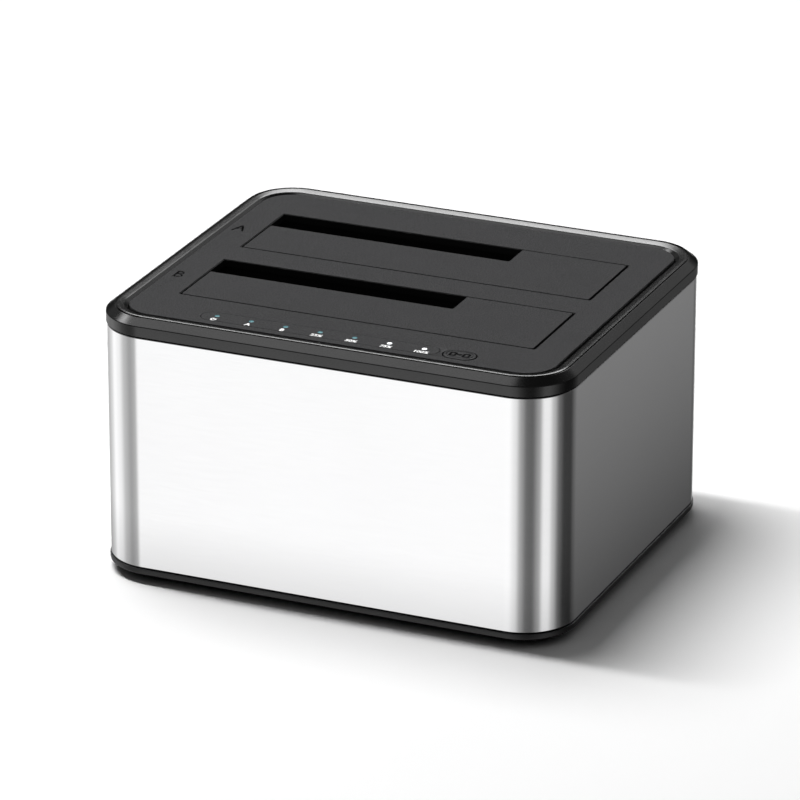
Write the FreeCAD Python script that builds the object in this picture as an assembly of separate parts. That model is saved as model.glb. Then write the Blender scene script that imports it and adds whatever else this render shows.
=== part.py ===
import FreeCAD, Part
import math
import os

from FreeCAD import Vector

# Two-bay hard drive dock and duplicator. Millimetres, +Z up, front towards -Y.
# The origin is on the floor under the middle of the case.

# ---- Drive bays. Bay B is at the front, bay A behind it.
bay_width = 104.0            # opening for a 101.6 mm wide 3.5-inch drive
bay_depth = 29.2             # opening for a 26.1 mm thick drive beside a folded flap
bay_pitch = 39.5
slot_width = 72.5            # notch left open in each flap for a 69.85 mm wide 2.5-inch drive
slot_depth = 10.3

# ---- Room between the bays and the outside of the case
front_room = 23.3
rear_room = 22.6
side_room = 15.65

# ---- Aluminium sleeve
sleeve_height = 67.5
sleeve_corner = 14.7
sleeve_wall = 1.6

# ---- Cover ring and base, both a little proud of the sleeve
cover_proud = 0.3
rim_wall_height = 3.0        # upright outer band of the ring
rim_facet_height = 1.9       # slanted band above it
rim_facet_inset = 2.3
crest_width = 1.3
inner_band_fall = 0.18       # slope of the inner band, height lost per mm
rim_side = 6.4               # from the outside of the ring to the panel
rim_front = 6.5
rim_rear = 7.2
panel_groove = 1.2           # dark gap round the panel
ledge_width = 1.2            # how far the ring reaches under the panel
ledge_thickness = 2.0
skirt_height = 2.5           # part of the ring that locates inside the sleeve
skirt_thickness = 1.5
locate_gap = 0.2             # between the sleeve and what locates inside it
rim_stock = 0.3              # ring width that the panel's opening cuts away
join_lap = 1.0               # the base's floor runs this far into its rim
overshoot = 1.0              # cuts run this far past the face that they open

foot_show = 1.5
base_taper_height = 1.4
base_taper_inset = 2.5
base_wall_height = 1.5
base_floor = 2.4
base_ring_height = 3.0

# ---- Top panel
panel_sink = 0.5             # panel top below the crest
panel_thickness = 2.2
panel_edge_cut = 0.3         # chamfer round the panel and its openings

# ---- Flaps and their hinges
flap_thickness = 2.0
flap_gap_side = 0.6
flap_gap_front = 0.3
flap_gap_rear = 0.45
flap_edge_cut = 0.25
root_sink = 0.5              # ribs, tabs and arms run this far into the leaf
hinge_back = 1.4             # pin centre in front of the opening's front edge
hinge_drop = 4.4             # pin centre below the panel's top face
barrel_radius = 1.8
pin_radius = 0.8
pin_play = 0.05
pin_end_gap = 0.3
knuckle_inset = 0.9          # from the flap's side
knuckle_length = 8.5
arm_reach = 6.0
tab_reach = 1.4              # stop tabs go this far under the panel's border
tab_width = 4.0
tab_thickness = 1.6
tab_root = 3.0               # how far the tabs start inside the flap's side
tab_left = 11.0              # left tab, from the bay's front edge
tab_right = 3.2              # right tab, from the bay's rear edge
flap_rib_height = 1.0
flap_rib_thickness = 1.2
flap_rib_count = 5
lip_depth = 2.0              # turned-down edge round the 2.5-inch notch
lip_thickness = 1.2
lip_end_gap = 4.0            # the lip stops short of the flap's sides

spring_radius = 1.35
spring_wire = 0.4            # side of the square wire
spring_length = 3.6
spring_knuckle_gap = 0.6     # between the coil and the right knuckle
spring_turns = 2
spring_leg_angle = 30.0
spring_touch = 0.04

# ---- Bay wells
well_wall = 1.6
well_side_gap = 2.0          # well wall beyond the end of the opening
well_front_gap = 3.6
well_rear_gap = 0.2
well_floor = 1.6
well_floor_drop = 3.6        # floor underside below the connector's top
guide_width = 2.4
guide_front_inset = 6.0      # from the bay's front edge to the front pair
guide_rear_inset = 4.8       # from the bay's rear edge to the rear pair
guide_clearance = 2.0        # guides end this far below the swing of the flap's stop tabs
guide_lead = 3.0             # height of the slope at the top of each guide
pillar_half = 3.4            # half width of the square pillars
pillar_place = 14.2          # from the bay's front edge
pillar_top_drop = 8.0        # below the panel's underside
pillar_gap = 0.4             # between the well wall and the pillar
lug_place = 4.0              # from the bay's front edge
lug_thickness = 2.0
boss_half = 2.1              # half width of the square bosses under the panel
boss_height = 3.8
boss_gap = 0.2

# ---- Screws: shank radius, head radius, head height
case_screw = (1.45, 2.9, 1.6)
case_screw_length = 16.0
small_screw = (0.95, 1.8, 1.4)
small_screw_length = 5.0
board_screw = (1.2, 2.3, 1.6)
board_screw_length = 7.0
screw_play = 0.05            # shank to the hole that it bites into
hole_play = 0.25             # shank to a clearance hole
tip_gap = 0.5                # hole depth past the tip of a screw
shank_side_count = 8         # shanks and the holes for them are plain octagons
head_side_count = 6          # hexagon heads
recess_side_count = 16       # recesses round the case screws' heads

# ---- Feet
foot_radius = 6.0
foot_side_count = 24
foot_x_inset = 13.3          # from the sleeve's outside
foot_y_inset = 13.3

# ---- Vents in the base
vent_width = 2.0
vent_length = 24.0
vent_pitch = 5.0
vent_count = 7
vent_place = 24.0

# ---- Main board
board_lift = 9.0             # above the base's inner floor
board_thickness = 1.6
board_side_gap = 2.4
board_front_gap = 9.5        # to the inside of the sleeve
board_rear_gap = 0.7
standoff_half = 2.8
standoff_x_inset = 5.0
standoff_front_inset = 5.0
standoff_rear_inset = 7.0
case_boss_half = 3.9
case_boss_height = 8.1
recess_depth = 5.0           # screw head recess, from the base's underside

# ---- SATA connectors
sata_length = 44.0
sata_width = 6.4
sata_height = 11.1
sata_x = -25.5
sata_inset = 4.0             # connector's middle from the bay's rear edge
sata_play = 0.4
sata_blade = 2.4             # width of the two contact slots
sata_power = 21.4
sata_signal = 11.2
sata_key = 1.6               # length and width of the key beside each slot
sata_key_width = 1.0
sata_slot_depth = 7.5
sata_edge_cut = 0.5

# ---- Sockets in the rear wall, heights above the board
jack_x = 36.0
jack_width = 9.4
jack_height = 11.2
jack_length = 12.4
jack_axis_height = 6.5
jack_nose_radius = 4.3
jack_bore_radius = 3.15
jack_bore_depth = 10.5
jack_pin_radius = 1.05
jack_pin_root = 1.6          # thicker foot of the pin, held in the jack's back wall
jack_pin_root_half = 1.4
jack_pin_sink = 1.0          # pin end behind the jack's face
jack_wall_gap = 0.2
port_face_sink = 0.1         # faces of jack nose and USB shell behind the sleeve's outside
port_play = 0.3
usb_x = 11.0
usb_width = 12.0
usb_height = 12.6
usb_length = 17.0
usb_cavity_depth = 11.0
usb_cavity_width = 8.5
usb_cavity_height = 7.8
usb_upper_width = 5.8
usb_upper_height = 2.7
usb_floor = 0.9
usb_root = 1.0               # plate at the back of the opening that carries both tongues
usb_tongue_sink = 2.0        # ends of the tongues behind the shell's face
usb_tongue_width = 5.6
usb_tongue_height = 3.2
usb_blade_width = 4.2
usb_blade_height = 1.0

# ---- Power rocker
switch_x = -30.0
switch_width = 15.4
switch_height = 11.8
switch_length = 12.0
switch_axis_height = 6.3
switch_wall_gap = 0.1
rocker_half = 6.2
rocker_height = 8.4
rocker_tilt = 8.0
rocker_end_rise = 3.2
rocker_middle_rise = 2.4
rocker_crown = 12.0          # radius of the hollow between the two ends
rocker_end_height = 2.0
rocker_foot_half = 2.6
rocker_foot_drop = 3.0
rocker_axle = 0.9
axle_play = 0.05
axle_seat = 1.0              # floor under the axle
axle_end_gap = 0.4
axle_top_gap = 0.3
rocker_play = 0.3
rocker_sink = 0.05           # raised end behind the sleeve's outside
pocket_depth = 9.0

# ---- Indicators and start button
row_inset = 5.5              # strip and button centre line from the panel's front edge
window_offset = 0.5
window_count = 7
window_inset = 4.35          # first and last window from the strip's ends
light_tip = 1.8              # side of the square tip that lights a window
light_body = 3.0
light_play = 0.06
strip_x = -5.05
strip_length = 69.0
strip_width = 6.0
strip_thickness = 0.8
strip_gap = 0.08
button_room = 1.45           # between the strip and the button
button_length = 9.0
button_width = 5.7
button_proud = 0.1
button_gap = 0.18
button_flange = 1.2
button_flange_thickness = 1.2
button_stem_half = 1.4
button_edge_cut = 0.2

# ---- Indicator board
led_board_thickness = 1.2
led_board_drop = 7.1         # top of the board below the panel's underside
led_board_front_gap = 2.2
led_board_rear_gap = 1.3
led_board_left = 11.8        # from the first window to the board's end
led_board_right = 13.1       # from the button's middle to the board's other end
led_boss_inset = 4.0
led_boss_half = 2.1
led_size = (2.0, 1.25, 0.8)
led_gap = 0.3
tact_size = 6.0
tact_height = 3.4
plunger_half = 1.5
plunger_show = 1.0
plunger_depth = 1.0
plunger_play = 0.06
tact_travel_room = 0.7

# ---- Flat cable between the boards
cable_x = -10.0
cable_width = 8.0
cable_thickness = 0.5
cable_bend = 18.0
cable_bend_high = 0.7        # heights of the two bends, as shares of the cable's height
cable_bend_low = 0.35
header_length = 11.0
header_depth = 4.0
header_height = 2.6
header_shift = 1.0           # upper header in front of the row's centre line
header_gap = 0.5

# ---- Small parts on the main board
chip_size = (12.0, 12.0, 1.4)
chip_place = (8.0, 0.0)
flash_size = (5.0, 6.0, 1.6)
flash_place = (23.0, -2.0)
crystal_size = (11.0, 4.6, 3.4)
crystal_place = (8.0, 12.0)
can_radius = 3.1
can_side_count = 16
can_height = 6.4
can_x = [-17.0, -9.0]
coil_x = [24.0]
rear_row_inset = 8.5         # cans and coil, from the board's rear edge
coil_size = 7.0
coil_height = 4.2

# ---- Heights that follow
base_bottom = foot_show
base_edge = base_bottom + base_taper_height
sleeve_bottom = base_edge + base_wall_height
sleeve_top = sleeve_bottom + sleeve_height
facet_bottom = sleeve_top + rim_wall_height
crest_top = facet_bottom + rim_facet_height
panel_top = crest_top - panel_sink
panel_under = panel_top - panel_thickness
base_inside = base_bottom + base_floor
board_bottom = base_inside + board_lift
board_top = board_bottom + board_thickness
sata_top = board_top + sata_height
well_bottom = sata_top - well_floor_drop
well_inside = well_bottom + well_floor
case_boss_top = base_inside + case_boss_height
led_board_top = panel_under - led_board_drop
led_board_bottom = led_board_top - led_board_thickness
boss_bottom = panel_under - boss_height
pillar_top = panel_under - pillar_top_drop

# ---- Plan positions that follow
sleeve_width = bay_width + 2 * side_room
sleeve_depth = front_room + bay_pitch + bay_depth + rear_room
cover_width = sleeve_width + 2 * cover_proud
cover_depth = sleeve_depth + 2 * cover_proud
cover_corner = sleeve_corner + cover_proud
inside_x = sleeve_width / 2 - sleeve_wall
inside_y = sleeve_depth / 2 - sleeve_wall
bay_front = {"b": front_room - sleeve_depth / 2}
bay_front["a"] = bay_front["b"] + bay_pitch
panel_x = cover_width / 2 - rim_side
panel_front = rim_front - cover_depth / 2
panel_rear = cover_depth / 2 - rim_rear
panel_corner = cover_corner - rim_side
row_y = panel_front + row_inset
window_y = row_y + window_offset
window_pitch = (strip_length - 2 * window_inset) / (window_count - 1)
window_x = [strip_x - strip_length / 2 + window_inset + window_pitch * i for i in range(window_count)]
button_x = strip_x + strip_length / 2 + button_room + button_length / 2
led_board_x = (window_x[0] - led_board_left, button_x + led_board_right)
rear_row_y = sleeve_depth / 2 - sleeve_wall - board_rear_gap - rear_row_inset
well_x = bay_width / 2 + well_side_gap
well_outer_x = well_x + well_wall
lug_x = well_outer_x + boss_half + boss_gap
pillar_x = well_outer_x + pillar_half + pillar_gap
board_x = pillar_x - case_boss_half - board_side_gap
board_front = board_front_gap - inside_y
board_rear = inside_y - board_rear_gap
skirt_inset = cover_proud + sleeve_wall + locate_gap
foot_places = {
    "front_left": (foot_x_inset - sleeve_width / 2, foot_y_inset - sleeve_depth / 2),
    "front_right": (sleeve_width / 2 - foot_x_inset, foot_y_inset - sleeve_depth / 2),
    "rear_left": (foot_x_inset - sleeve_width / 2, sleeve_depth / 2 - foot_y_inset),
    "rear_right": (sleeve_width / 2 - foot_x_inset, sleeve_depth / 2 - foot_y_inset),
}
standoff_places = [
    (x * (board_x - standoff_x_inset), y)
    for x in (-1, 1)
    for y in (board_front + standoff_front_inset, board_rear - standoff_rear_inset)
]
pillar_places = [(x * pillar_x, bay_front[bay] + pillar_place) for bay in "ab" for x in (-1, 1)]
lug_spots = [(x * lug_x, bay_front[bay] + lug_place) for bay in "ab" for x in (-1, 1)]
led_boss_spots = [(led_board_x[0] + led_boss_inset, row_y), (led_board_x[1] - led_boss_inset, row_y)]


# ---- Building blocks

def box(x0, x1, y0, y1, z0, z1):
    return Part.makeBox(x1 - x0, y1 - y0, z1 - z0, Vector(x0, y0, z0))


def rod_x(radius, x0, x1, y, z):
    return Part.makeCylinder(radius, x1 - x0, Vector(x0, y, z), Vector(1, 0, 0))


def rod_y(radius, y0, y1, x, z):
    return Part.makeCylinder(radius, y1 - y0, Vector(x, y0, z), Vector(0, 1, 0))


def rod_z(radius, z0, z1, x, y):
    return Part.makeCylinder(radius, z1 - z0, Vector(x, y, z0))


def post(x, y, half, z0, z1):
    return box(x - half, x + half, y - half, y + half, z0, z1)


def joined(shapes):
    return shapes[0].multiFuse(shapes[1:]).removeSplitter()


def face(points, place):
    """Flat face inside a closed outline of (u, v) or (u, v, corner radius) points."""
    corners = []
    for i, point in enumerate(points):
        here = Vector(point[0], point[1], 0)
        radius = point[2] if len(point) > 2 else 0
        if not radius:
            corners.append((here, None, here))
            continue
        before = Vector(points[i - 1][0], points[i - 1][1], 0) - here
        after = Vector(*points[(i + 1) % len(points)][:2], 0) - here
        half = before.getAngle(after) / 2
        before.normalize()
        after.normalize()
        middle = (before + after).normalize()
        crown = here + middle * (radius / math.sin(half) - radius)
        reach = radius / math.tan(half)
        corners.append((here + before * reach, crown, here + after * reach))
    edges = []
    for i, (start, crown, end) in enumerate(corners):
        last = corners[i - 1][2]
        if last.distanceToPoint(start) > 1e-6:
            edges.append(Part.makeLine(place(last.x, last.y), place(start.x, start.y)))
        if crown:
            ends = [place(p.x, p.y) for p in (start, crown, end)]
            edges.append(Part.Arc(*ends).toShape())
    return Part.Face(Part.Wire(edges))


def prism_x(points, x0, x1):
    """Outline in (y, z), drawn out along X."""
    return face(points, lambda y, z: Vector(x0, y, z)).extrude(Vector(x1 - x0, 0, 0))


def prism_y(points, y0, y1):
    """Outline in (x, z), drawn out along Y."""
    return face(points, lambda x, z: Vector(x, y0, z)).extrude(Vector(0, y1 - y0, 0))


def prism_z(points, z0, z1):
    """Outline in (x, y), drawn out along Z."""
    return face(points, lambda x, y: Vector(x, y, z0)).extrude(Vector(0, 0, z1 - z0))


def plate(x0, x1, y0, y1, radius, z0, z1):
    return prism_z([(x0, y0, radius), (x1, y0, radius), (x1, y1, radius), (x0, y1, radius)], z0, z1)


def pill(x, y, length, width, z0, z1):
    """Plate with half-round ends, long along X."""
    return plate(x - length / 2, x + length / 2, y - width / 2, y + width / 2, width / 2, z0, z1)


def cover_plate(inset, z0, z1):
    """Plate with the cover's outline, drawn in by the inset."""
    x = cover_width / 2 - inset
    y = cover_depth / 2 - inset
    return plate(-x, x, -y, y, cover_corner - inset, z0, z1)


def panel_plate(grow, z0, z1):
    """Plate with the panel's outline, let out by the given amount."""
    x = panel_x + grow
    return plate(-x, x, panel_front - grow, panel_rear + grow, panel_corner + grow, z0, z1)


def rim(section):
    """Section of (inset, z) points carried round the cover's outline."""
    pieces = []
    for turn in range(4):
        run, out = (cover_width / 2, cover_depth / 2) if turn % 2 == 0 else (cover_depth / 2, cover_width / 2)
        run -= cover_corner
        side = face(section, lambda u, z: Vector(-run, u - out, z)).extrude(Vector(2 * run, 0, 0))
        end = face(section, lambda u, z: Vector(run, u - out, z))
        corner = end.revolve(Vector(run, cover_corner - out, 0), Vector(0, 0, 1), 90)
        for piece in (side, corner):
            piece.rotate(Vector(0, 0, 0), Vector(0, 0, 1), 90 * turn)
            pieces.append(piece)
    return joined(pieces)


def edge_cut(shape, z, size):
    """Chamfers every edge that lies flat at the given height."""
    edges = [
        e for e in shape.Edges if abs(e.BoundBox.ZMin - z) < 1e-6 and abs(e.BoundBox.ZMax - z) < 1e-6
    ]
    return shape.makeChamfer(size, edges)


def flats(count, radius, z0, z1, x=0, y=0):
    """Upright prism with the given number of flats, its corners on the radius."""
    step = 2 * math.pi / count
    corners = [(x + radius * math.cos(i * step), y + radius * math.sin(i * step)) for i in range(count)]
    return prism_z(corners, z0, z1)


def screw_hole(sizes, play, x, y, z0, z1):
    return flats(shank_side_count, sizes[0] + play, z0, z1, x, y)


def screw(x, y, seat_z, up, sizes, length):
    """Screw whose head bears at seat_z, with its shank going up (+1) or down (-1)."""
    shank, head, height = sizes
    solid = joined([flats(head_side_count, head, -height, 0), flats(shank_side_count, shank, 0, length)])
    if up < 0:
        solid.rotate(Vector(0, 0, 0), Vector(1, 0, 0), 180)
    solid.translate(Vector(x, y, seat_z))
    return solid


# ---- Case

def body_sleeve():
    x = sleeve_width / 2
    y = sleeve_depth / 2
    tube = plate(-x, x, -y, y, sleeve_corner, sleeve_bottom, sleeve_top)
    hollow = plate(
        -inside_x, inside_x, -inside_y, inside_y, sleeve_corner - sleeve_wall, sleeve_bottom, sleeve_top
    )
    jack_z = board_top + jack_axis_height
    rocker_z = board_top + switch_axis_height
    half = rocker_pocket_half()
    low = inside_y - overshoot
    high = y + overshoot
    cuts = [
        rod_y(jack_nose_radius + port_play, low, high, jack_x, jack_z),
        box(
            usb_x - usb_width / 2 - port_play,
            usb_x + usb_width / 2 + port_play,
            low,
            high,
            board_top - port_play,
            board_top + usb_height + port_play,
        ),
        box(
            switch_x - half[0],
            switch_x + half[0],
            low,
            high,
            rocker_z - half[1],
            rocker_z + half[1],
        ),
    ]
    return tube.cut(hollow).cut(cuts)


def top_bezel():
    inner = max(rim_side, rim_front, rim_rear) + ledge_width + rim_stock
    band = rim_facet_inset + crest_width
    section = [
        (0, sleeve_top),
        (0, facet_bottom),
        (rim_facet_inset, crest_top),
        (band, crest_top),
        (inner, crest_top - (inner - band) * inner_band_fall),
        (inner, panel_under - ledge_thickness),
        (skirt_inset + skirt_thickness, panel_under - ledge_thickness),
        (skirt_inset + skirt_thickness, sleeve_top - skirt_height),
        (skirt_inset, sleeve_top - skirt_height),
        (skirt_inset, sleeve_top),
    ]
    ring = rim(section)
    ring = ring.cut(panel_plate(panel_groove, panel_under, crest_top + overshoot))
    ring = ring.cut(panel_plate(-ledge_width, sleeve_bottom, crest_top + overshoot))
    notches = [
        post(x, y, boss_half + boss_gap, sleeve_bottom, panel_under) for x, y in lug_spots
    ]
    return ring.cut(notches)


def base_plate():
    inner = skirt_inset + skirt_thickness
    shell = rim(
        [
            (inner + join_lap, base_bottom),
            (base_taper_inset, base_bottom),
            (0, base_edge),
            (0, sleeve_bottom),
            (skirt_inset, sleeve_bottom),
            (skirt_inset, sleeve_bottom + base_ring_height),
            (inner, sleeve_bottom + base_ring_height),
            (inner, base_inside),
            (inner + join_lap, base_inside),
        ]
    )
    solids = [shell, cover_plate(inner, base_bottom, base_inside)]
    solids += [post(x, y, case_boss_half, base_bottom, case_boss_top) for x, y in pillar_places]
    solids += [post(x, y, standoff_half, base_bottom, board_bottom) for x, y in standoff_places]
    base = joined(solids)
    cuts = []
    for x, y in pillar_places:
        cuts.append(screw_hole(case_screw, hole_play, x, y, base_bottom, case_boss_top))
        radius = case_screw[1] + hole_play
        cuts.append(flats(recess_side_count, radius, base_bottom, base_bottom + recess_depth, x, y))
    low = board_top - board_screw_length - tip_gap
    for x, y in standoff_places:
        cuts.append(screw_hole(board_screw, screw_play, x, y, low, board_bottom))
    for side in (-1, 1):
        for i in range(vent_count):
            x = side * vent_place
            y = (i - (vent_count - 1) / 2) * vent_pitch
            half_x = vent_length / 2
            half_y = vent_width / 2
            cuts.append(box(x - half_x, x + half_x, y - half_y, y + half_y, base_bottom, base_inside))
    return base.cut(cuts)


def foot(x, y):
    return flats(foot_side_count, foot_radius, 0, base_bottom, x, y)


# ---- Top panel with its indicators and button

def top_panel():
    panel = panel_plate(0, panel_under, panel_top)
    openings = []
    for front in bay_front.values():
        openings.append(
            box(-bay_width / 2, bay_width / 2, front, front + bay_depth, panel_under, panel_top)
        )
    panel = edge_cut(panel.cut(openings), panel_top, panel_edge_cut)
    bosses = [post(x, y, boss_half, boss_bottom, panel_under) for x, y in lug_spots]
    bosses += [post(x, y, led_boss_half, led_board_top, panel_under) for x, y in led_boss_spots]
    panel = joined([panel] + bosses)
    cuts = [
        pill(
            strip_x,
            row_y,
            strip_length + 2 * strip_gap,
            strip_width + 2 * strip_gap,
            panel_top - strip_thickness,
            panel_top + overshoot,
        ),
        pill(
            button_x,
            row_y,
            button_length + 2 * button_gap,
            button_width + 2 * button_gap,
            panel_under,
            panel_top + overshoot,
        ),
    ]
    for x in window_x:
        cuts.append(post(x, window_y, light_tip / 2 + light_play, panel_under, panel_top))
    for x, y in lug_spots:
        cuts.append(screw_hole(small_screw, screw_play, x, y, boss_bottom, panel_under))
    for x, y in led_boss_spots:
        cuts.append(screw_hole(small_screw, screw_play, x, y, led_board_top, panel_under))
    return panel.cut(cuts)


def indicator_strip():
    return pill(strip_x, row_y, strip_length, strip_width, panel_top - strip_thickness, panel_top)


def light_guide(x):
    tip = post(x, window_y, light_tip / 2, panel_under, panel_top - strip_thickness)
    body = post(x, window_y, light_body / 2, led_board_top + led_size[2] + led_gap, panel_under)
    return joined([tip, body])


def clone_button():
    top = panel_top + button_proud
    cap = pill(button_x, row_y, button_length, button_width, panel_under, top)
    cap = edge_cut(cap, top, button_edge_cut)
    half_x = button_length / 2 + button_flange
    half_y = button_width / 2 + button_flange
    low = panel_under - button_flange_thickness
    flange = box(button_x - half_x, button_x + half_x, row_y - half_y, row_y + half_y, low, panel_under)
    stem_low = led_board_top + tact_height + plunger_show
    stem = post(button_x, row_y, button_stem_half, stem_low, low)
    return joined([cap, flange, stem])


def indicator_board():
    rear = bay_front["b"] - well_front_gap - well_wall - led_board_rear_gap
    front = skirt_inset + skirt_thickness - cover_depth / 2 + led_board_front_gap
    board = box(*led_board_x, front, rear, led_board_bottom, led_board_top)
    holes = [
        screw_hole(small_screw, hole_play, x, y, led_board_bottom, led_board_top)
        for x, y in led_boss_spots
    ]
    return board.cut(holes)


def status_leds():
    length, width, height = led_size
    return Part.makeCompound(
        [
            box(
                x - length / 2,
                x + length / 2,
                window_y - width / 2,
                window_y + width / 2,
                led_board_top,
                led_board_top + height,
            )
            for x in window_x
        ]
    )


def tact_switch():
    top = led_board_top + tact_height
    body = post(button_x, row_y, tact_size / 2, led_board_top, top)
    low = top - plunger_depth - tact_travel_room
    return body.cut(post(button_x, row_y, plunger_half + plunger_play, low, top))


def tact_plunger():
    top = led_board_top + tact_height
    return post(button_x, row_y, plunger_half, top - plunger_depth, top + plunger_show)


# ---- Flaps

def hinge_axis(front):
    return front - hinge_back, panel_top - hinge_drop


def bay_flap(front):
    axis_y, axis_z = hinge_axis(front)
    half = bay_width / 2 - flap_gap_side
    near = front + flap_gap_front
    far = front + bay_depth - flap_gap_rear
    notch_x = slot_width - bay_width / 2
    notch_y = front + bay_depth - slot_depth
    under = panel_top - flap_thickness
    leaf = prism_z(
        [
            (-half, near),
            (half, near),
            (half, far),
            (notch_x, far),
            (notch_x, notch_y),
            (-half, notch_y),
        ],
        under,
        panel_top,
    )
    solids = [edge_cut(leaf, panel_top, flap_edge_cut)]
    lip_low = under - lip_depth
    lip_y = notch_y - lip_thickness
    lip_x = notch_x + lip_thickness
    solids.append(box(lip_end_gap - half, lip_x, lip_y, notch_y, lip_low, under))
    solids.append(box(notch_x, lip_x, lip_y, far - lip_end_gap, lip_low, under))
    knuckle_out = half - knuckle_inset
    knuckle_in = knuckle_out - knuckle_length
    rib = flap_rib_thickness / 2
    rib_pitch = 2 * knuckle_in / (flap_rib_count + 1)
    for i in range(flap_rib_count):
        x = rib_pitch * (i + 1) - knuckle_in
        solids.append(box(x - rib, x + rib, near + arm_reach, lip_y, under - flap_rib_height, under))
    low = panel_under - tab_thickness
    for side, y0 in ((-1, front + tab_left), (1, front + bay_depth - tab_right - tab_width)):
        inner, rim_x, outer = (side * v for v in (half - tab_root, half, bay_width / 2 + tab_reach))
        for end, high in ((outer, panel_under), (rim_x, under + root_sink)):
            solids.append(box(min(inner, end), max(inner, end), y0, y0 + tab_width, low, high))
    flat = barrel_radius * math.tan(math.pi / 8)
    drop = hinge_drop - flap_thickness
    knuckle = [
        (-flat, barrel_radius),
        (hinge_back + flap_gap_front, barrel_radius),
        (hinge_back + flap_gap_front, drop + root_sink),
        (arm_reach, drop + root_sink),
        (arm_reach, drop),
        (barrel_radius, -flat),
        (flat, -barrel_radius),
        (-flat, -barrel_radius),
        (-barrel_radius, -flat),
        (-barrel_radius, flat),
    ]
    outline = [(axis_y + y, axis_z + z) for y, z in knuckle]
    for x0, x1 in ((-knuckle_out, -knuckle_in), (knuckle_in, knuckle_out)):
        solids.append(prism_x(outline, x0, x1))
    bore = rod_x(pin_radius + pin_play, -bay_width / 2, bay_width / 2, axis_y, axis_z)
    return joined(solids).cut(bore)


def flap_pin(front):
    end = well_outer_x - pin_end_gap
    return rod_x(pin_radius, -end, end, *hinge_axis(front))


def flap_spring(front):
    """Square-wire torsion spring on the pin: one leg under the flap, the other on the well's wall."""
    axis_y, axis_z = hinge_axis(front)
    start = -90.0 + spring_leg_angle
    finish = -spring_leg_angle
    turns = spring_turns + (start - finish) / 360.0
    coil = Part.Wire(Part.makeHelix(spring_length / turns, spring_length, spring_radius, 0, True).Edges)
    first = coil.OrderedEdges[0]
    root = first.valueAt(first.FirstParameter)
    along = first.tangentAt(first.FirstParameter)
    out = Vector(1, 0, 0)
    across = along.cross(out)
    half = spring_wire / 2
    corners = [
        root + out * (i * half) + across * (j * half) for i, j in ((-1, -1), (1, -1), (1, 1), (-1, 1))
    ]
    section = Part.makePolygon(corners + corners[:1])
    body = coil.makePipeShell([section], True, True)
    body.rotate(Vector(0, 0, 0), Vector(1, 1, 1), 120)
    body.rotate(Vector(0, 0, 0), Vector(1, 0, 0), start)
    body.translate(Vector(-spring_length / 2, 0, 0))
    touch = half + spring_touch
    legs = []
    for end_x, angle, sense in ((-spring_length / 2, start, 1), (spring_length / 2, finish, -1)):
        if sense > 0:
            wall = hinge_drop - flap_thickness - touch
            reach = (wall - spring_radius * math.sin(math.radians(angle))) / math.cos(math.radians(angle))
        else:
            wall = hinge_back - well_front_gap + touch
            reach = (spring_radius * math.cos(math.radians(angle)) - wall) / -math.sin(math.radians(angle))
        ends = (-half, reach) if sense > 0 else (-reach, half)
        leg = box(end_x - half, end_x + half, spring_radius - half, spring_radius + half, *ends)
        leg.rotate(Vector(0, 0, 0), Vector(1, 0, 0), angle)
        legs.append(leg)
    spring = body.multiFuse(legs)
    knuckle_in = bay_width / 2 - flap_gap_side - knuckle_inset - knuckle_length
    middle = knuckle_in - spring_knuckle_gap - spring_length / 2
    spring.translate(Vector(middle, axis_y, axis_z))
    return spring


# ---- Bay wells

def guide(side, y, top):
    """Upright rib that centres a drive, with a slope at its top."""
    wall = side * (well_x + well_wall / 2)
    edge = side * bay_width / 2
    outline = [(wall, well_inside), (edge, well_inside), (edge, top - guide_lead), (wall, top)]
    return prism_y(outline, y, y + guide_width)


def bay_well(front):
    axis_y, axis_z = hinge_axis(front)
    swing = hinge_back + bay_depth - tab_right
    y0 = front - well_front_gap
    y1 = front + bay_depth + well_rear_gap
    shell = box(-well_outer_x, well_outer_x, y0 - well_wall, y1 + well_wall, well_bottom, panel_under)
    shell = shell.cut(box(-well_x, well_x, y0, y1, well_inside, panel_under))
    solids = [shell]
    for side in (-1, 1):
        for y in (front + guide_front_inset, front + bay_depth - guide_rear_inset - guide_width):
            solids.append(guide(side, y, axis_z - swing - guide_clearance))
        x = side * pillar_x
        y = front + pillar_place
        solids.append(post(x, y, pillar_half, case_boss_top, pillar_top))
        xs = sorted((side * (well_outer_x - well_wall / 2), x))
        solids.append(box(*xs, y - pillar_half, y + pillar_half, well_bottom, pillar_top))
        y = front + lug_place
        xs = sorted((side * (well_outer_x - well_wall / 2), side * (lug_x + boss_half)))
        low = boss_bottom - lug_thickness
        solids.append(box(*xs, y - boss_half, y + boss_half, low, boss_bottom))
    well = joined(solids)
    cuts = [rod_x(pin_radius + pin_play, -well_outer_x, well_outer_x, axis_y, axis_z)]
    reach_x = sata_length / 2 + sata_play
    reach_y = sata_width / 2 + sata_play
    y = sata_y(front)
    cuts.append(
        box(sata_x - reach_x, sata_x + reach_x, y - reach_y, y + reach_y, well_bottom, well_inside)
    )
    for side in (-1, 1):
        x = side * pillar_x
        y = front + pillar_place
        high = base_bottom + recess_depth + case_screw_length + tip_gap
        cuts.append(screw_hole(case_screw, screw_play, x, y, case_boss_top, high))
        low = boss_bottom - lug_thickness
        y = front + lug_place
        cuts.append(screw_hole(small_screw, hole_play, side * lug_x, y, low, boss_bottom))
    return well.cut(cuts)


# ---- Main board and what stands on it

def main_board():
    board = box(-board_x, board_x, board_front, board_rear, board_bottom, board_top)
    holes = [
        screw_hole(board_screw, hole_play, x, y, board_bottom, board_top) for x, y in standoff_places
    ]
    return board.cut(holes)


def sata_y(front):
    return front + bay_depth - sata_inset


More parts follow.
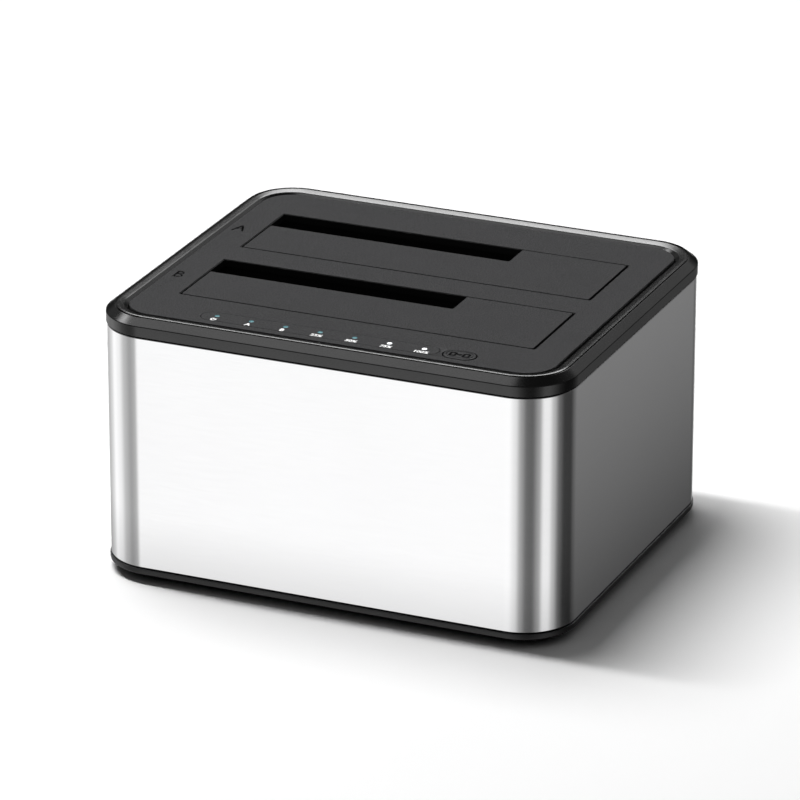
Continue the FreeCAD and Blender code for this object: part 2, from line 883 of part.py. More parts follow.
def sata_connector(front):
    y = sata_y(front)
    half = sata_width / 2
    body = box(
        sata_x - sata_length / 2, sata_x + sata_length / 2, y - half, y + half, board_top, sata_top
    )
    body = edge_cut(body, sata_top, sata_edge_cut)
    low = sata_top - sata_slot_depth
    blade = sata_blade / 2
    rib = (sata_length - sata_power - sata_signal) / 3
    power_x = sata_x - sata_length / 2 + rib
    signal_x = power_x + sata_power + rib
    cuts = []
    for x, length in ((power_x, sata_power), (signal_x, sata_signal)):
        cuts.append(box(x, x + length, y - blade, y + blade, low, sata_top))
        cuts.append(box(x, x + sata_key, y - blade - sata_key_width, y + blade, low, sata_top))
    return body.cut(cuts)


def block(size, place):
    length, width, height = size
    x, y = place
    return box(
        x - length / 2, x + length / 2, y - width / 2, y + width / 2, board_top, board_top + height
    )


def capacitors():
    top = board_top + can_height
    cans = [flats(can_side_count, can_radius, board_top, top, x, rear_row_y) for x in can_x]
    return Part.makeCompound(cans)


def power_inductors():
    top = board_top + coil_height
    return Part.makeCompound([post(x, rear_row_y, coil_size / 2, board_top, top) for x in coil_x])


# ---- Rear sockets

def port_face():
    return sleeve_depth / 2 - port_face_sink


def dc_jack():
    z = board_top + jack_axis_height
    rear = inside_y - jack_wall_gap
    half = jack_width / 2
    body = box(
        jack_x - half, jack_x + half, rear - jack_length, rear, board_top, board_top + jack_height
    )
    nose = rod_y(jack_nose_radius, rear, port_face(), jack_x, z)
    bore = rod_y(jack_bore_radius, port_face() - jack_bore_depth, port_face(), jack_x, z)
    return joined([body, nose]).cut([bore, jack_pin_foot()])


def jack_pin_foot():
    """Square foot of the pin, behind the bore."""
    z = board_top + jack_axis_height
    half = jack_pin_root_half
    rear = port_face() - jack_bore_depth
    return box(jack_x - half, jack_x + half, rear - jack_pin_root, rear, z - half, z + half)


def dc_jack_pin():
    start = port_face() - jack_bore_depth
    tip = port_face() - jack_pin_sink
    pin = rod_y(jack_pin_radius, start, tip, jack_x, board_top + jack_axis_height)
    return joined([pin, jack_pin_foot()])


def usb_cavity():
    """Opening of a type-B socket: a lower bay with cut corners and a narrow upper bay."""
    half = usb_cavity_width / 2
    upper = usb_upper_width / 2
    low = board_top + usb_floor
    step = low + usb_cavity_height
    slope = half - upper
    return [
        (usb_x - half, low),
        (usb_x + half, low),
        (usb_x + half, step - slope),
        (usb_x + upper, step),
        (usb_x + upper, step + usb_upper_height),
        (usb_x - upper, step + usb_upper_height),
        (usb_x - upper, step),
        (usb_x - half, step - slope),
    ]


def usb_port():
    rear = port_face()
    half = usb_width / 2
    high = board_top + usb_height
    shell = box(usb_x - half, usb_x + half, rear - usb_length, rear, board_top, high)
    return shell.cut(prism_y(usb_cavity(), rear - usb_cavity_depth, rear))


def usb_tongue():
    rear = port_face()
    start = rear - usb_cavity_depth
    low = board_top + usb_floor
    middle = low + usb_cavity_height / 2
    main = box(
        usb_x - usb_tongue_width / 2,
        usb_x + usb_tongue_width / 2,
        start,
        rear - usb_tongue_sink,
        middle - usb_tongue_height / 2,
        middle + usb_tongue_height / 2,
    )
    blade_low = low + usb_cavity_height + (usb_upper_height - usb_blade_height) / 2
    blade = box(
        usb_x - usb_blade_width / 2,
        usb_x + usb_blade_width / 2,
        start,
        rear - usb_tongue_sink,
        blade_low,
        blade_low + usb_blade_height,
    )
    root = prism_y(usb_cavity(), start, start + usb_root)
    return joined([root, main, blade])


def rocker_pocket_half():
    """Half length and half height of the hole that the rocker moves in."""
    tilt = math.radians(rocker_tilt)
    reach = rocker_half * math.cos(tilt) + rocker_end_rise * math.sin(tilt)
    return reach + rocker_play, rocker_height / 2 + rocker_play


def rocker_axis():
    tilt = math.radians(rocker_tilt)
    rise = rocker_half * math.sin(tilt) + rocker_end_rise * math.cos(tilt)
    return sleeve_depth / 2 - rocker_sink - rise, board_top + switch_axis_height


def switch_housing():
    axis_y, axis_z = rocker_axis()
    rear = inside_y - switch_wall_gap
    half = switch_width / 2
    body = box(
        switch_x - half,
        switch_x + half,
        rear - switch_length,
        rear,
        board_top,
        board_top + switch_height,
    )
    half_x, half_z = rocker_pocket_half()
    pocket = box(
        switch_x - half_x, switch_x + half_x, rear - pocket_depth, rear, axis_z - half_z, axis_z + half_z
    )
    low = board_top + axle_seat
    bearing = rod_z(rocker_axle + axle_play, low, board_top + switch_height, switch_x, axis_y)
    return body.cut([pocket, bearing])


def power_rocker():
    axis_y, axis_z = rocker_axis()
    half_z = rocker_height / 2
    foot_y = -rocker_foot_drop
    side_y = rocker_end_rise - rocker_end_height
    outline = [
        (-rocker_half, rocker_end_rise),
        (0, rocker_middle_rise, rocker_crown),
        (rocker_half, rocker_end_rise),
        (rocker_half, side_y),
        (rocker_foot_half, foot_y),
        (-rocker_foot_half, foot_y),
        (-rocker_half, side_y),
    ]
    body = prism_z(outline, -half_z, half_z)
    axle_low = board_top + axle_seat + axle_end_gap - axis_z
    axle_high = board_top + switch_height - axle_top_gap - axis_z
    rocker = joined([body, rod_z(rocker_axle, axle_low, axle_high, 0, 0)])
    rocker.rotate(Vector(0, 0, 0), Vector(0, 0, 1), -rocker_tilt)
    rocker.translate(Vector(switch_x, axis_y, axis_z))
    return rocker


# ---- Flat cable between the boards

def header_places():
    """Middle of the upper header and of the lower header, in Y."""
    well_face = bay_front["b"] - well_front_gap - well_wall
    lower = min(board_front + header_depth, well_face - header_depth / 2 - header_gap)
    return row_y - header_shift, lower


def cable_headers():
    upper, lower = header_places()
    x0 = cable_x - header_length / 2
    x1 = cable_x + header_length / 2
    depth = header_depth / 2
    headers = [
        box(x0, x1, upper - depth, upper + depth, led_board_bottom - header_height, led_board_bottom),
        box(x0, x1, lower - depth, lower + depth, board_top, board_top + header_height),
    ]
    return Part.makeCompound(headers)


def board_link_cable():
    upper, lower = header_places()
    top = led_board_bottom - header_height
    bottom = board_top + header_height
    bend_high = bottom + (top - bottom) * cable_bend_high
    bend_low = bottom + (top - bottom) * cable_bend_low
    half = cable_thickness / 2
    outline = [
        (upper - half, top),
        (upper - half, bend_high, cable_bend),
        (lower - half, bend_low, cable_bend),
        (lower - half, bottom),
        (lower + half, bottom),
        (lower + half, bend_low, cable_bend),
        (upper + half, bend_high, cable_bend),
        (upper + half, top),
    ]
    return prism_x(outline, cable_x - cable_width / 2, cable_x + cable_width / 2)


# ---- Fasteners

def case_screws():
    seat = base_bottom + recess_depth
    return Part.makeCompound(
        [screw(x, y, seat, 1, case_screw, case_screw_length) for x, y in pillar_places]
    )


def well_screws():
    seat = boss_bottom - lug_thickness
    return Part.makeCompound(
        [screw(x, y, seat, 1, small_screw, small_screw_length) for x, y in lug_spots]
    )


def board_screws():
    return Part.makeCompound(
        [screw(x, y, board_top, -1, board_screw, board_screw_length) for x, y in standoff_places]
    )


def indicator_screws():
    return Part.makeCompound(
        [
            screw(x, y, led_board_bottom, 1, small_screw, small_screw_length)
            for x, y in led_boss_spots
        ]
    )


def all_parts():
    parts = {
        "body_sleeve": body_sleeve(),
        "top_bezel": top_bezel(),
        "base_plate": base_plate(),
        "top_panel": top_panel(),
        "indicator_strip": indicator_strip(),
        "clone_button": clone_button(),
        "indicator_board": indicator_board(),
        "status_leds": status_leds(),
        "tact_switch": tact_switch(),
        "tact_plunger": tact_plunger(),
        "main_board": main_board(),
        "bridge_chip": block(chip_size, chip_place),
        "flash_chip": block(flash_size, flash_place),
        "crystal": block(crystal_size, crystal_place),
        "capacitors": capacitors(),
        "power_inductors": power_inductors(),
        "dc_jack": dc_jack(),
        "dc_jack_pin": dc_jack_pin(),
        "usb_port": usb_port(),
        "usb_tongue": usb_tongue(),
        "switch_housing": switch_housing(),
        "power_rocker": power_rocker(),
        "cable_headers": cable_headers(),
        "board_link_cable": board_link_cable(),
        "case_screws": case_screws(),
        "well_screws": well_screws(),
        "board_screws": board_screws(),
        "indicator_screws": indicator_screws(),
    }
    for number, x in enumerate(window_x, 1):
        parts["light_guide_%d" % number] = light_guide(x)
    for name, (x, y) in foot_places.items():
        parts["foot_" + name] = foot(x, y)
    for bay, front in bay_front.items():
        parts["bay_flap_" + bay] = bay_flap(front)
        parts["flap_pin_" + bay] = flap_pin(front)
        parts["flap_spring_" + bay] = flap_spring(front)
        parts["bay_well_" + bay] = bay_well(front)
        parts["sata_connector_" + bay] = sata_connector(front)
    return parts


os.makedirs("parts", exist_ok=True)
for name, shape in sorted(all_parts().items()):
    solids = shape.Solids
    print("%-18s %2d solid(s) %10.2f mm3 valid %s" % (name, len(solids), shape.Volume, shape.isValid()))
    solid = solids[0] if len(solids) == 1 else Part.makeCompound(solids)
    solid.exportStep("parts/%s.step" % name)
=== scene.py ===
import bmesh
import bpy
import math
import numpy as np
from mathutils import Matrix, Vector
from mathutils.geometry import tessellate_polygon


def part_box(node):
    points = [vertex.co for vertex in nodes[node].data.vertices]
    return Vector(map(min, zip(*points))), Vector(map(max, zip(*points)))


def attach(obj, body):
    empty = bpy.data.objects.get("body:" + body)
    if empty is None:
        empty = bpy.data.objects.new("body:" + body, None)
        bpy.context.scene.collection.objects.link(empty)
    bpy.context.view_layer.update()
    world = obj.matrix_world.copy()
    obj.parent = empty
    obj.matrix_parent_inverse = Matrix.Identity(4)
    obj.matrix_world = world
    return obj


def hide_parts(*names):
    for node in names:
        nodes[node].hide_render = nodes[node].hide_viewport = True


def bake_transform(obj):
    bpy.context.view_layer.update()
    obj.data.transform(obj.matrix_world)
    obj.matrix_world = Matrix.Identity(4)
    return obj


# Two-bay hard drive dock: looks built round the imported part. Metres, +Z up, front towards -Y.

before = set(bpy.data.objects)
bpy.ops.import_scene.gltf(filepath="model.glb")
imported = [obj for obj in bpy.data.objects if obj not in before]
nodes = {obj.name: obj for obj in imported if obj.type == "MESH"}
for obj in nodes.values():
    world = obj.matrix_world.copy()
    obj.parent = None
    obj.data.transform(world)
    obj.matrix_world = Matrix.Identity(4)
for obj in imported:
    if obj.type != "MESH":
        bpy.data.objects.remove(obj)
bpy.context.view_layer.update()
mm = 0.001
print("frame loaded:", len(nodes), "nodes")


def nodeBox(name):
    low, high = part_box(name)
    return np.array(low), np.array(high)


def nodeMiddle(name):
    low, high = nodeBox(name)
    return (low + high) / 2


def lengths(**sizes):
    # named lengths, given in millimetres
    return {name: size * mm for name, size in sizes.items()}


# Shapes: each is (points, list of face arrays).

def loft(rings, closeRings=False, caps=False):
    # skin over closed rings that run anticlockwise seen from the side they rise to; each flat cap is one face
    rings = np.asarray(rings, float)
    count, size = rings.shape[:2]
    this = np.arange(count if closeRings else count - 1)[:, None] * size
    above = (this + size) % (count * size)
    place = np.arange(size)
    after = (place + 1) % size
    faces = [np.stack([this + place, this + after, above + after, above + place], -1).reshape(-1, 4)]
    if caps:
        faces += [place[::-1][None], (place + (count - 1) * size)[None]]
    return rings.reshape(-1, 3), faces


def joinShapes(shapes):
    points, faces, offset = [], [], 0
    for part, partFaces in shapes:
        points.append(part)
        faces += [f + offset for f in partFaces]
        offset += len(part)
    return np.concatenate(points), faces


def moved(shape, by):
    return shape[0] + np.asarray(by, float), shape[1]


def repeated(shape, places):
    return joinShapes([moved(shape, place) for place in places])


def turned(shape, axis, degrees):
    # turns a shape about the X or the Z axis
    a = math.radians(degrees)
    c, s = math.cos(a), math.sin(a)
    turn = {"x": [[1, 0, 0], [0, c, -s], [0, s, c]], "z": [[c, -s, 0], [s, c, 0], [0, 0, 1]]}[axis]
    return shape[0] @ np.array(turn).T, shape[1]


def flipped(shape):
    # upside down through the floor plane, with its faces still outwards
    return shape[0] * [1, 1, -1], [f[:, ::-1] for f in shape[1]]


def facingBack(shape):
    # a shape drawn in (x, z) and rising towards +Y, with its faces still outwards
    return shape[0][:, [0, 2, 1]], [f[:, ::-1] for f in shape[1]]


def cornerLoop(corners, radius, inset=0.0, steps=6):
    # closed outline, moved inwards by the inset, with every corner an arc: centre + reach x direction,
    # where the direction turns from the normal of the side before to the normal of the side after
    p = np.asarray(corners, float)
    ahead = np.roll(p, -1, 0) - p
    ahead /= np.linalg.norm(ahead, axis=1)[:, None]
    behind = np.roll(ahead, 1, 0)
    inward = np.stack([-ahead[:, 1], ahead[:, 0]], -1)
    before = np.roll(inward, 1, 0)
    dot = (behind * ahead).sum(1)
    turn = np.arctan2(behind[:, 0] * ahead[:, 1] - behind[:, 1] * ahead[:, 0], dot)
    side = np.sign(turn)
    radius = np.maximum(np.broadcast_to(radius, len(p)), side * inset)
    centre = p + (side * radius / (1 + dot))[:, None] * (inward + before)
    start = np.arctan2(-side * before[:, 1], -side * before[:, 0])
    angle = start[:, None] + turn[:, None] * np.linspace(0, 1, steps + 1)
    reach = np.maximum(radius - side * inset, 1e-8)
    arcs = centre[:, None] + reach[:, None, None] * np.stack([np.cos(angle), np.sin(angle)], -1)
    return arcs.reshape(-1, 2)


def roundedLoop(x0, x1, y0, y1, radius, inset=0.0, steps=8):
    return cornerLoop([(x0, y0), (x1, y0), (x1, y1), (x0, y1)], radius, inset, steps)


def circleLoop(x, y, radius, steps=24):
    angle = np.arange(steps) * 2 * math.pi / steps
    return np.stack([x + radius * np.cos(angle), y + radius * np.sin(angle)], -1)


# Outlines: each is a function of how far it is moved inwards.

def boxOutline(x0, x1, y0, y1, radius, steps):
    return lambda inset: roundedLoop(x0, x1, y0, y1, radius, inset, steps)


def squareOutline(x, y, half, radius, steps):
    return boxOutline(x - half, x + half, y - half, y + half, radius, steps)


def pillOutline(x, y, length, width):
    # a hair of straight side keeps the points of the two round ends apart
    return boxOutline(x - length / 2, x + length / 2, y - width / 2, y + width / 2, width / 2 - 1e-7, 16)


def roundHole(x, y, radius, steps=24):
    return lambda inset: circleLoop(x, y, radius - inset, steps)


def atHeight(loop, z):
    return np.column_stack([loop, np.full(len(loop), z)])


def ringMaker(outline):
    return lambda inset, z: atHeight(outline(inset), z)


def edgeLevels(z0, z1, edge, steps, bothEdges=False):
    # (inset, height) pairs up a side, with a quarter round at its top edge or at both edges
    a = np.linspace(0, math.pi / 2, steps + 1 if edge else 1)
    arc = np.stack([edge - edge * np.cos(a), edge * np.sin(a) - edge], -1)
    start = [(i, z0 - r) for i, r in arc[::-1]] if bothEdges else [(0, z0)]
    return start + [(i, z1 + r) for i, r in arc]


def prism(outline, w0, w1, edge=0.0, axis="z", bothEdges=True):
    # outline drawn out along Z or X, with a quarter round along its end edges
    ring = ringMaker(outline)
    rings = np.stack([ring(*level) for level in edgeLevels(w0, w1, edge, 3, bothEdges)])
    return loft(rings[:, :, [2, 0, 1]] if axis == "x" else rings, caps=True)


def slab(x0, x1, y0, y1, z0, z1, corner=0.0, edge=0.0, bothEdges=False):
    # block with round upright corners and rounded top edges
    return prism(boxOutline(x0, x1, y0, y1, max(corner, 1e-7), 4), z0, z1, edge, bothEdges=bothEdges)


def brick(low, high):
    # plain block between two opposite corners, for contacts and other small repeated parts
    (x0, y0, z0), (x1, y1, z1) = low, high
    plan = np.array([(x0, y0), (x1, y0), (x1, y1), (x0, y1)])
    return loft([atHeight(plan, z0), atHeight(plan, z1)], caps=True)


def collar(outline, first, second, low, high):
    # thin wall between two insets of an outline
    ring = ringMaker(outline)
    corners = ((first, low), (first, high), (second, high), (second, low))
    return loft([ring(*corner) for corner in corners], closeRings=True)


def revolve(profile, steps=48, closed=False):
    # (radius, z) profile turned round the Z axis; a profile that starts or ends on the axis closes itself
    rings = [atHeight(circleLoop(0, 0, radius, steps), z) for radius, z in profile]
    return loft(rings, closeRings=closed, caps=not closed)


def plateWithHoles(outer, holes, z0, z1, edge, edgeSteps=4):
    # flat plate between outlines with a quarter round at their top edges; the faces between the
    # outlines are filled at the top and at the bottom
    shapes, topLoops, bottomLoops = [], [], []
    for outline, side in [(outer, 1)] + [(hole, -1) for hole in holes]:
        levels = edgeLevels(z0, z1, edge, edgeSteps)
        rings = np.stack([atHeight(outline(side * inset), z) for inset, z in levels])
        if side < 0:
            rings = rings[:, ::-1]
        shapes.append(loft(rings))
        topLoops.append(rings[-1])
        bottomLoops.append(rings[0])
    for loops, flip in ((topLoops, False), (bottomLoops, True)):
        corners = np.array(tessellate_polygon([list(map(Vector, loop)) for loop in loops]))
        points = np.concatenate(loops)
        a, b, c = (points[corners[:, i]] for i in range(3))
        up = np.cross(b - a, c - a)[:, 2] > 0
        corners[up == flip] = corners[up == flip][:, ::-1]
        shapes.append((points, [corners]))
    return joinShapes(shapes)


def tube(path, radius, sides=10):
    # round wire: a circle carried along the path, square to it at every point
    along = np.gradient(path, axis=0)
    along /= np.linalg.norm(along, axis=1)[:, None]
    helper = np.where(np.abs(along[:, [0]]) > 0.8, [[0.0, 0.0, 1.0]], [[1.0, 0.0, 0.0]])
    side = np.cross(helper, along)
    side /= np.linalg.norm(side, axis=1)[:, None]
    angle = (np.arange(sides) * 2 * math.pi / sides)[:, None]
    ring = side[:, None] * np.cos(angle) + np.cross(along, side)[:, None] * np.sin(angle)
    return loft(path[:, None] + radius * ring, caps=True)


def bar(path, width, z0, z1, closed=False):
    # flat line of even width along a path in plan: left and right of each point, low and high
    p = np.asarray(path, float)
    ahead = np.roll(p, -1, 0) - np.roll(p, 1, 0) if closed else np.gradient(p, axis=0)
    left = np.stack([-ahead[:, 1], ahead[:, 0]], -1) / np.linalg.norm(ahead, axis=1)[:, None] * width / 2
    rings = [atHeight(p + side * left, z) for side, z in ((1, z0), (1, z1), (-1, z1), (-1, z0))]
    return loft(np.stack(rings, 1), closeRings=closed, caps=not closed)


def newObject(name, data):
    obj = bpy.data.objects.new(name, data)
    bpy.context.collection.objects.link(obj)
    return obj


def evaluatedMesh(obj):
    bpy.context.view_layer.update()
    return bpy.data.meshes.new_from_object(obj.evaluated_get(bpy.context.evaluated_depsgraph_get()))


def lettering(words, size, x, y, z0, z1, bold=0.0, narrow=1.0):
    # closed letters centred on (x, y), upright towards +Y, between two heights
    curve = bpy.data.curves.new("lettering", "FONT")
    curve.body, curve.size, curve.offset = words, size, bold
    curve.align_x = curve.align_y = "CENTER"
    curve.extrude = (z1 - z0) / 2
    curve.resolution_u = 3
    obj = newObject("lettering", curve)
    mesh = evaluatedMesh(obj)
    mesh.calc_loop_triangles()
    points = np.empty(3 * len(mesh.vertices))
    mesh.vertices.foreach_get("co", points)
    faces = np.empty(3 * len(mesh.loop_triangles), int)
    mesh.loop_triangles.foreach_get("vertices", faces)
    bpy.data.objects.remove(obj)
    bpy.data.meshes.remove(mesh)
    return points.reshape(-1, 3) * [narrow, 1, 1] + [x, y, (z0 + z1) / 2], [faces.reshape(-1, 3)]


# Pieces: meshes with their material, body and the nodes they stand for.

def smoothMesh(mesh, sharp):
    mesh.shade_smooth()
    mesh.set_sharp_from_angle(angle=math.radians(sharp))


def addMesh(name, shape, sharp=34):
    mesh = bpy.data.meshes.new(name)
    mesh.from_pydata(shape[0].tolist(), [], [f for group in shape[1] for f in group.tolist()])
    mesh.update()
    work = bmesh.new()
    work.from_mesh(mesh)
    bmesh.ops.remove_doubles(work, verts=work.verts, dist=1e-7)
    work.to_mesh(mesh)
    work.free()
    smoothMesh(mesh, sharp)
    return newObject(name, mesh)


def snakeName(name):
    return "".join("_" + letter.lower() if letter.isupper() else letter for letter in name)


def addPiece(name, shape, look, slotName=None, body="root", stands=(), sharp=34, even=True):
    obj = addMesh(name, shape, sharp)
    obj.data.materials.append(materials[look])
    if even:
        # wide flat faces keep their own normal, so the light runs flat up to the rounded edges
        shading = obj.modifiers.new("evenShading", "WEIGHTED_NORMAL")
        shading.keep_sharp = True
        shading.weight = 90
    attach(obj, body)
    if stands:
        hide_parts(*stands)
    slotName or snakeName(look)
    return obj


def cutFrom(obj, cutters, sharp=34):
    # takes the closed cutter shapes out of the piece and keeps the result in its mesh
    tools = [addMesh("cutter%d" % i, shape) for i, shape in enumerate(cutters)]
    for i, tool in enumerate(tools):
        cut = obj.modifiers.new("cut%d" % i, "BOOLEAN")
        cut.operation = "DIFFERENCE"
        cut.solver = "EXACT"
        cut.use_self = True
        cut.object = tool
    result = evaluatedMesh(obj)
    for cut in [m for m in obj.modifiers if m.type == "BOOLEAN"]:
        obj.modifiers.remove(cut)
    obj.data = result
    for tool in tools:
        bpy.data.objects.remove(tool)
    smoothMesh(result, sharp)


# Shader nodes.

def addNode(tree, kind, inputs=(), **settings):
    # each input, by label or number, takes a constant or another node's output
    node = tree.nodes.new("ShaderNode" + kind)
    for name, value in settings.items():
        setattr(node, name, value)
    for label, item in dict(inputs).items():
        if isinstance(item, bpy.types.NodeSocket):
            tree.links.new(item, node.inputs[label])
        else:
            node.inputs[label].default_value = item
    return node


def mathNode(tree, operation, *values, clamp=False):
    return addNode(tree, "Math", enumerate(values), operation=operation, use_clamp=clamp).outputs[0]


def noiseNode(tree, vector, scale, detail=2.0, roughness=0.5):
    inputs = {"Vector": vector, "Scale": scale, "Detail": detail, "Roughness": roughness}
    return addNode(tree, "TexNoise", inputs).outputs["Fac"]


def rangeNode(tree, value, low, high, toLow, toHigh):
    inputs = {"Value": value, "From Min": low, "From Max": high, "To Min": toLow, "To Max": toHigh}
    return addNode(tree, "MapRange", inputs).outputs["Result"]


def stretchNode(tree, vector, scale):
    return addNode(tree, "Mapping", {"Vector": vector, "Scale": scale}).outputs["Vector"]


def placeNode(tree, kind="Object"):
    return addNode(tree, "TexCoord").outputs[kind]


def mixNode(tree, first, second, share=1.0, blend="MIX"):
    inputs = {"Factor": share, "A": first, "B": second}
    return addNode(tree, "Mix", data_type="RGBA", blend_type=blend, inputs=inputs).outputs["Result"]


def mixShaders(tree, share, first, second):
    return addNode(tree, "MixShader", enumerate((share, first, second))).outputs[0]


def shaderGroup(name, values, results, build):
    # takes a vector and named values; gives the named values that its build function works out
    tree = bpy.data.node_groups.new(name, "ShaderNodeTree")
    tree.interface.new_socket("Vector", in_out="INPUT", socket_type="NodeSocketVector")
    for label, value in values.items():
        socket = tree.interface.new_socket(label, in_out="INPUT", socket_type="NodeSocketFloat")
        socket.default_value = value
    for label in results:
        tree.interface.new_socket(label, in_out="OUTPUT", socket_type="NodeSocketFloat")
    given = tree.nodes.new("NodeGroupInput").outputs
    target = tree.nodes.new("NodeGroupOutput")
    for label, result in zip(results, build(tree, given)):
        tree.links.new(result, target.inputs[label])
    return tree


def buildSpark(tree, given):
    # fine even pitting of a moulded face, with a slow drift in how dull it is
    fine = noiseNode(tree, given["Vector"], given["Scale"], 3.0, 0.6)
    slow = noiseNode(tree, given["Vector"], 38.0)
    drift = rangeNode(tree, slow, 0.3, 0.7, -1.0, 1.0)
    pits = rangeNode(tree, fine, 0.35, 0.65, 0.0, 1.0)
    gloss = mathNode(tree, "MULTIPLY", mathNode(tree, "SUBTRACT", pits, 0.5), given["Speckle"])
    gloss = mathNode(tree, "ADD", gloss, mathNode(tree, "MULTIPLY", drift, given["Drift"]))
    roughness = mathNode(tree, "ADD", given["Roughness"], gloss, clamp=True)
    return pits, roughness, mathNode(tree, "ADD", mathNode(tree, "MULTIPLY", gloss, -1.6), 1.0)


def buildGrain(tree, given):
    # long fine lines along X and Y of a drawn or brushed metal wall, finest across Z
    lines = noiseNode(tree, stretchNode(tree, given["Vector"], (0.04, 0.04, 1.0)), given["Scale"], 4.0, 0.65)
    slow = noiseNode(tree, given["Vector"], 24.0, 1.0)
    mix = mathNode(tree, "ADD", mathNode(tree, "MULTIPLY", lines, 0.7), mathNode(tree, "MULTIPLY", slow, 0.3))
    return lines, rangeNode(tree, mix, 0.35, 0.65, given["Low"], given["High"])


def buildMask(tree, given):
    # copper under a lacquered board: blocky pours and thin tracks
    cells = {"Vector": given["Vector"], "Scale": given["Scale"]}
    cells = addNode(tree, "TexVoronoi", distance="MANHATTAN", feature="DISTANCE_TO_EDGE", inputs=cells)
    gaps = rangeNode(tree, cells.outputs["Distance"], 0.02, 0.05, 0.0, 1.0)
    tracks = noiseNode(tree, stretchNode(tree, given["Vector"], (1.0, 0.1, 1.0)), 900.0, 1.0)
    return [mathNode(tree, "MULTIPLY", gaps, rangeNode(tree, tracks, 0.5, 0.53, 0.0, 1.0))]


spark = {"Scale": 2600.0, "Roughness": 0.5, "Speckle": 0.08, "Drift": 0.03}
sparkGroup = shaderGroup("mouldedSpark", spark, ("Height", "Roughness", "Shade"), buildSpark)
grain = {"Scale": 3200.0, "Low": 0.14, "High": 0.2}
grainGroup = shaderGroup("drawnGrain", grain, ("Height", "Roughness"), buildGrain)
maskGroup = shaderGroup("solderMask", {"Scale": 180.0}, ["Copper"], buildMask)


# Materials: made under their names, which the pieces give.

materials = {}


def newMaterial(name, colour, specular=0.5, **settings):
    material = bpy.data.materials.new(name)
    material.use_nodes = True
    materials[name] = material
    tree = material.node_tree
    shader = tree.nodes["Principled BSDF"]
    settings.update({"Base Color": (*colour, 1), "Specular IOR Level": specular})
    for label, value in settings.items():
        shader.inputs[label].default_value = value
    return tree, shader


def placeGroup(tree, group, **values):
    inputs = {"Vector": placeNode(tree), **values}
    return addNode(tree, "Group", node_tree=group, inputs=inputs).outputs


def addBump(tree, shader, height, strength, distance):
    inputs = {"Strength": strength, "Distance": distance, "Height": height}
    tree.links.new(addNode(tree, "Bump", inputs).outputs["Normal"], shader.inputs["Normal"])


def shadeColour(tree, shader, colour, shade, label="Base Color"):
    tree.links.new(mixNode(tree, (*colour, 1), shade, blend="MULTIPLY"), shader.inputs[label])


def mixColours(tree, shader, colour, other, share):
    tree.links.new(mixNode(tree, (*colour, 1), (*other, 1), share), shader.inputs["Base Color"])


def mouldedPlastic(name, colour, roughness, scale=2600.0, speckle=0.08, bump=0.25, **settings):
    tree, shader = newMaterial(name, colour, **settings)
    given = placeGroup(tree, sparkGroup, Scale=scale, Roughness=roughness, Speckle=speckle)
    tree.links.new(given["Roughness"], shader.inputs["Roughness"])
    shadeColour(tree, shader, colour, given["Shade"])
    addBump(tree, shader, given["Height"], bump, 0.02 * mm)


def drawnMetal(name, colour, low, high, scale=3200.0):
    tree, shader = newMaterial(name, colour, Metallic=1.0)
    given = placeGroup(tree, grainGroup, Scale=scale, Low=low, High=high)
    tree.links.new(given["Roughness"], shader.inputs["Roughness"])
    addBump(tree, shader, given["Height"], 0.06, 0.01 * mm)


def lacquer(name, colour, copperColour):
    tree, shader = newMaterial(name, colour, Roughness=0.32)
    copper = placeGroup(tree, maskGroup)["Copper"]
    mixColours(tree, shader, colour, copperColour, copper)
    addBump(tree, shader, copper, 0.4, 0.03 * mm)


def ribbon(name, colour, other):
    # flat cable: one round ridge for each of its wires, side by side along X
    tree, shader = newMaterial(name, colour, Roughness=0.45)
    wires = addNode(tree, "TexWave", {"Vector": placeNode(tree), "Scale": 500.0}).outputs["Fac"]
    mixColours(tree, shader, other, colour, wires)
    addBump(tree, shader, wires, 0.8, 0.2 * mm)


def lit(name, colour, strength):
    # small lamp seen through its lens, a little uneven in what it gives
    tree, shader = newMaterial(name, colour, Roughness=0.25, **{"Emission Strength": strength})
    given = placeGroup(tree, sparkGroup, Scale=900.0, Roughness=0.5, Speckle=0.2)
    shadeColour(tree, shader, colour, given["Shade"], "Emission Color")


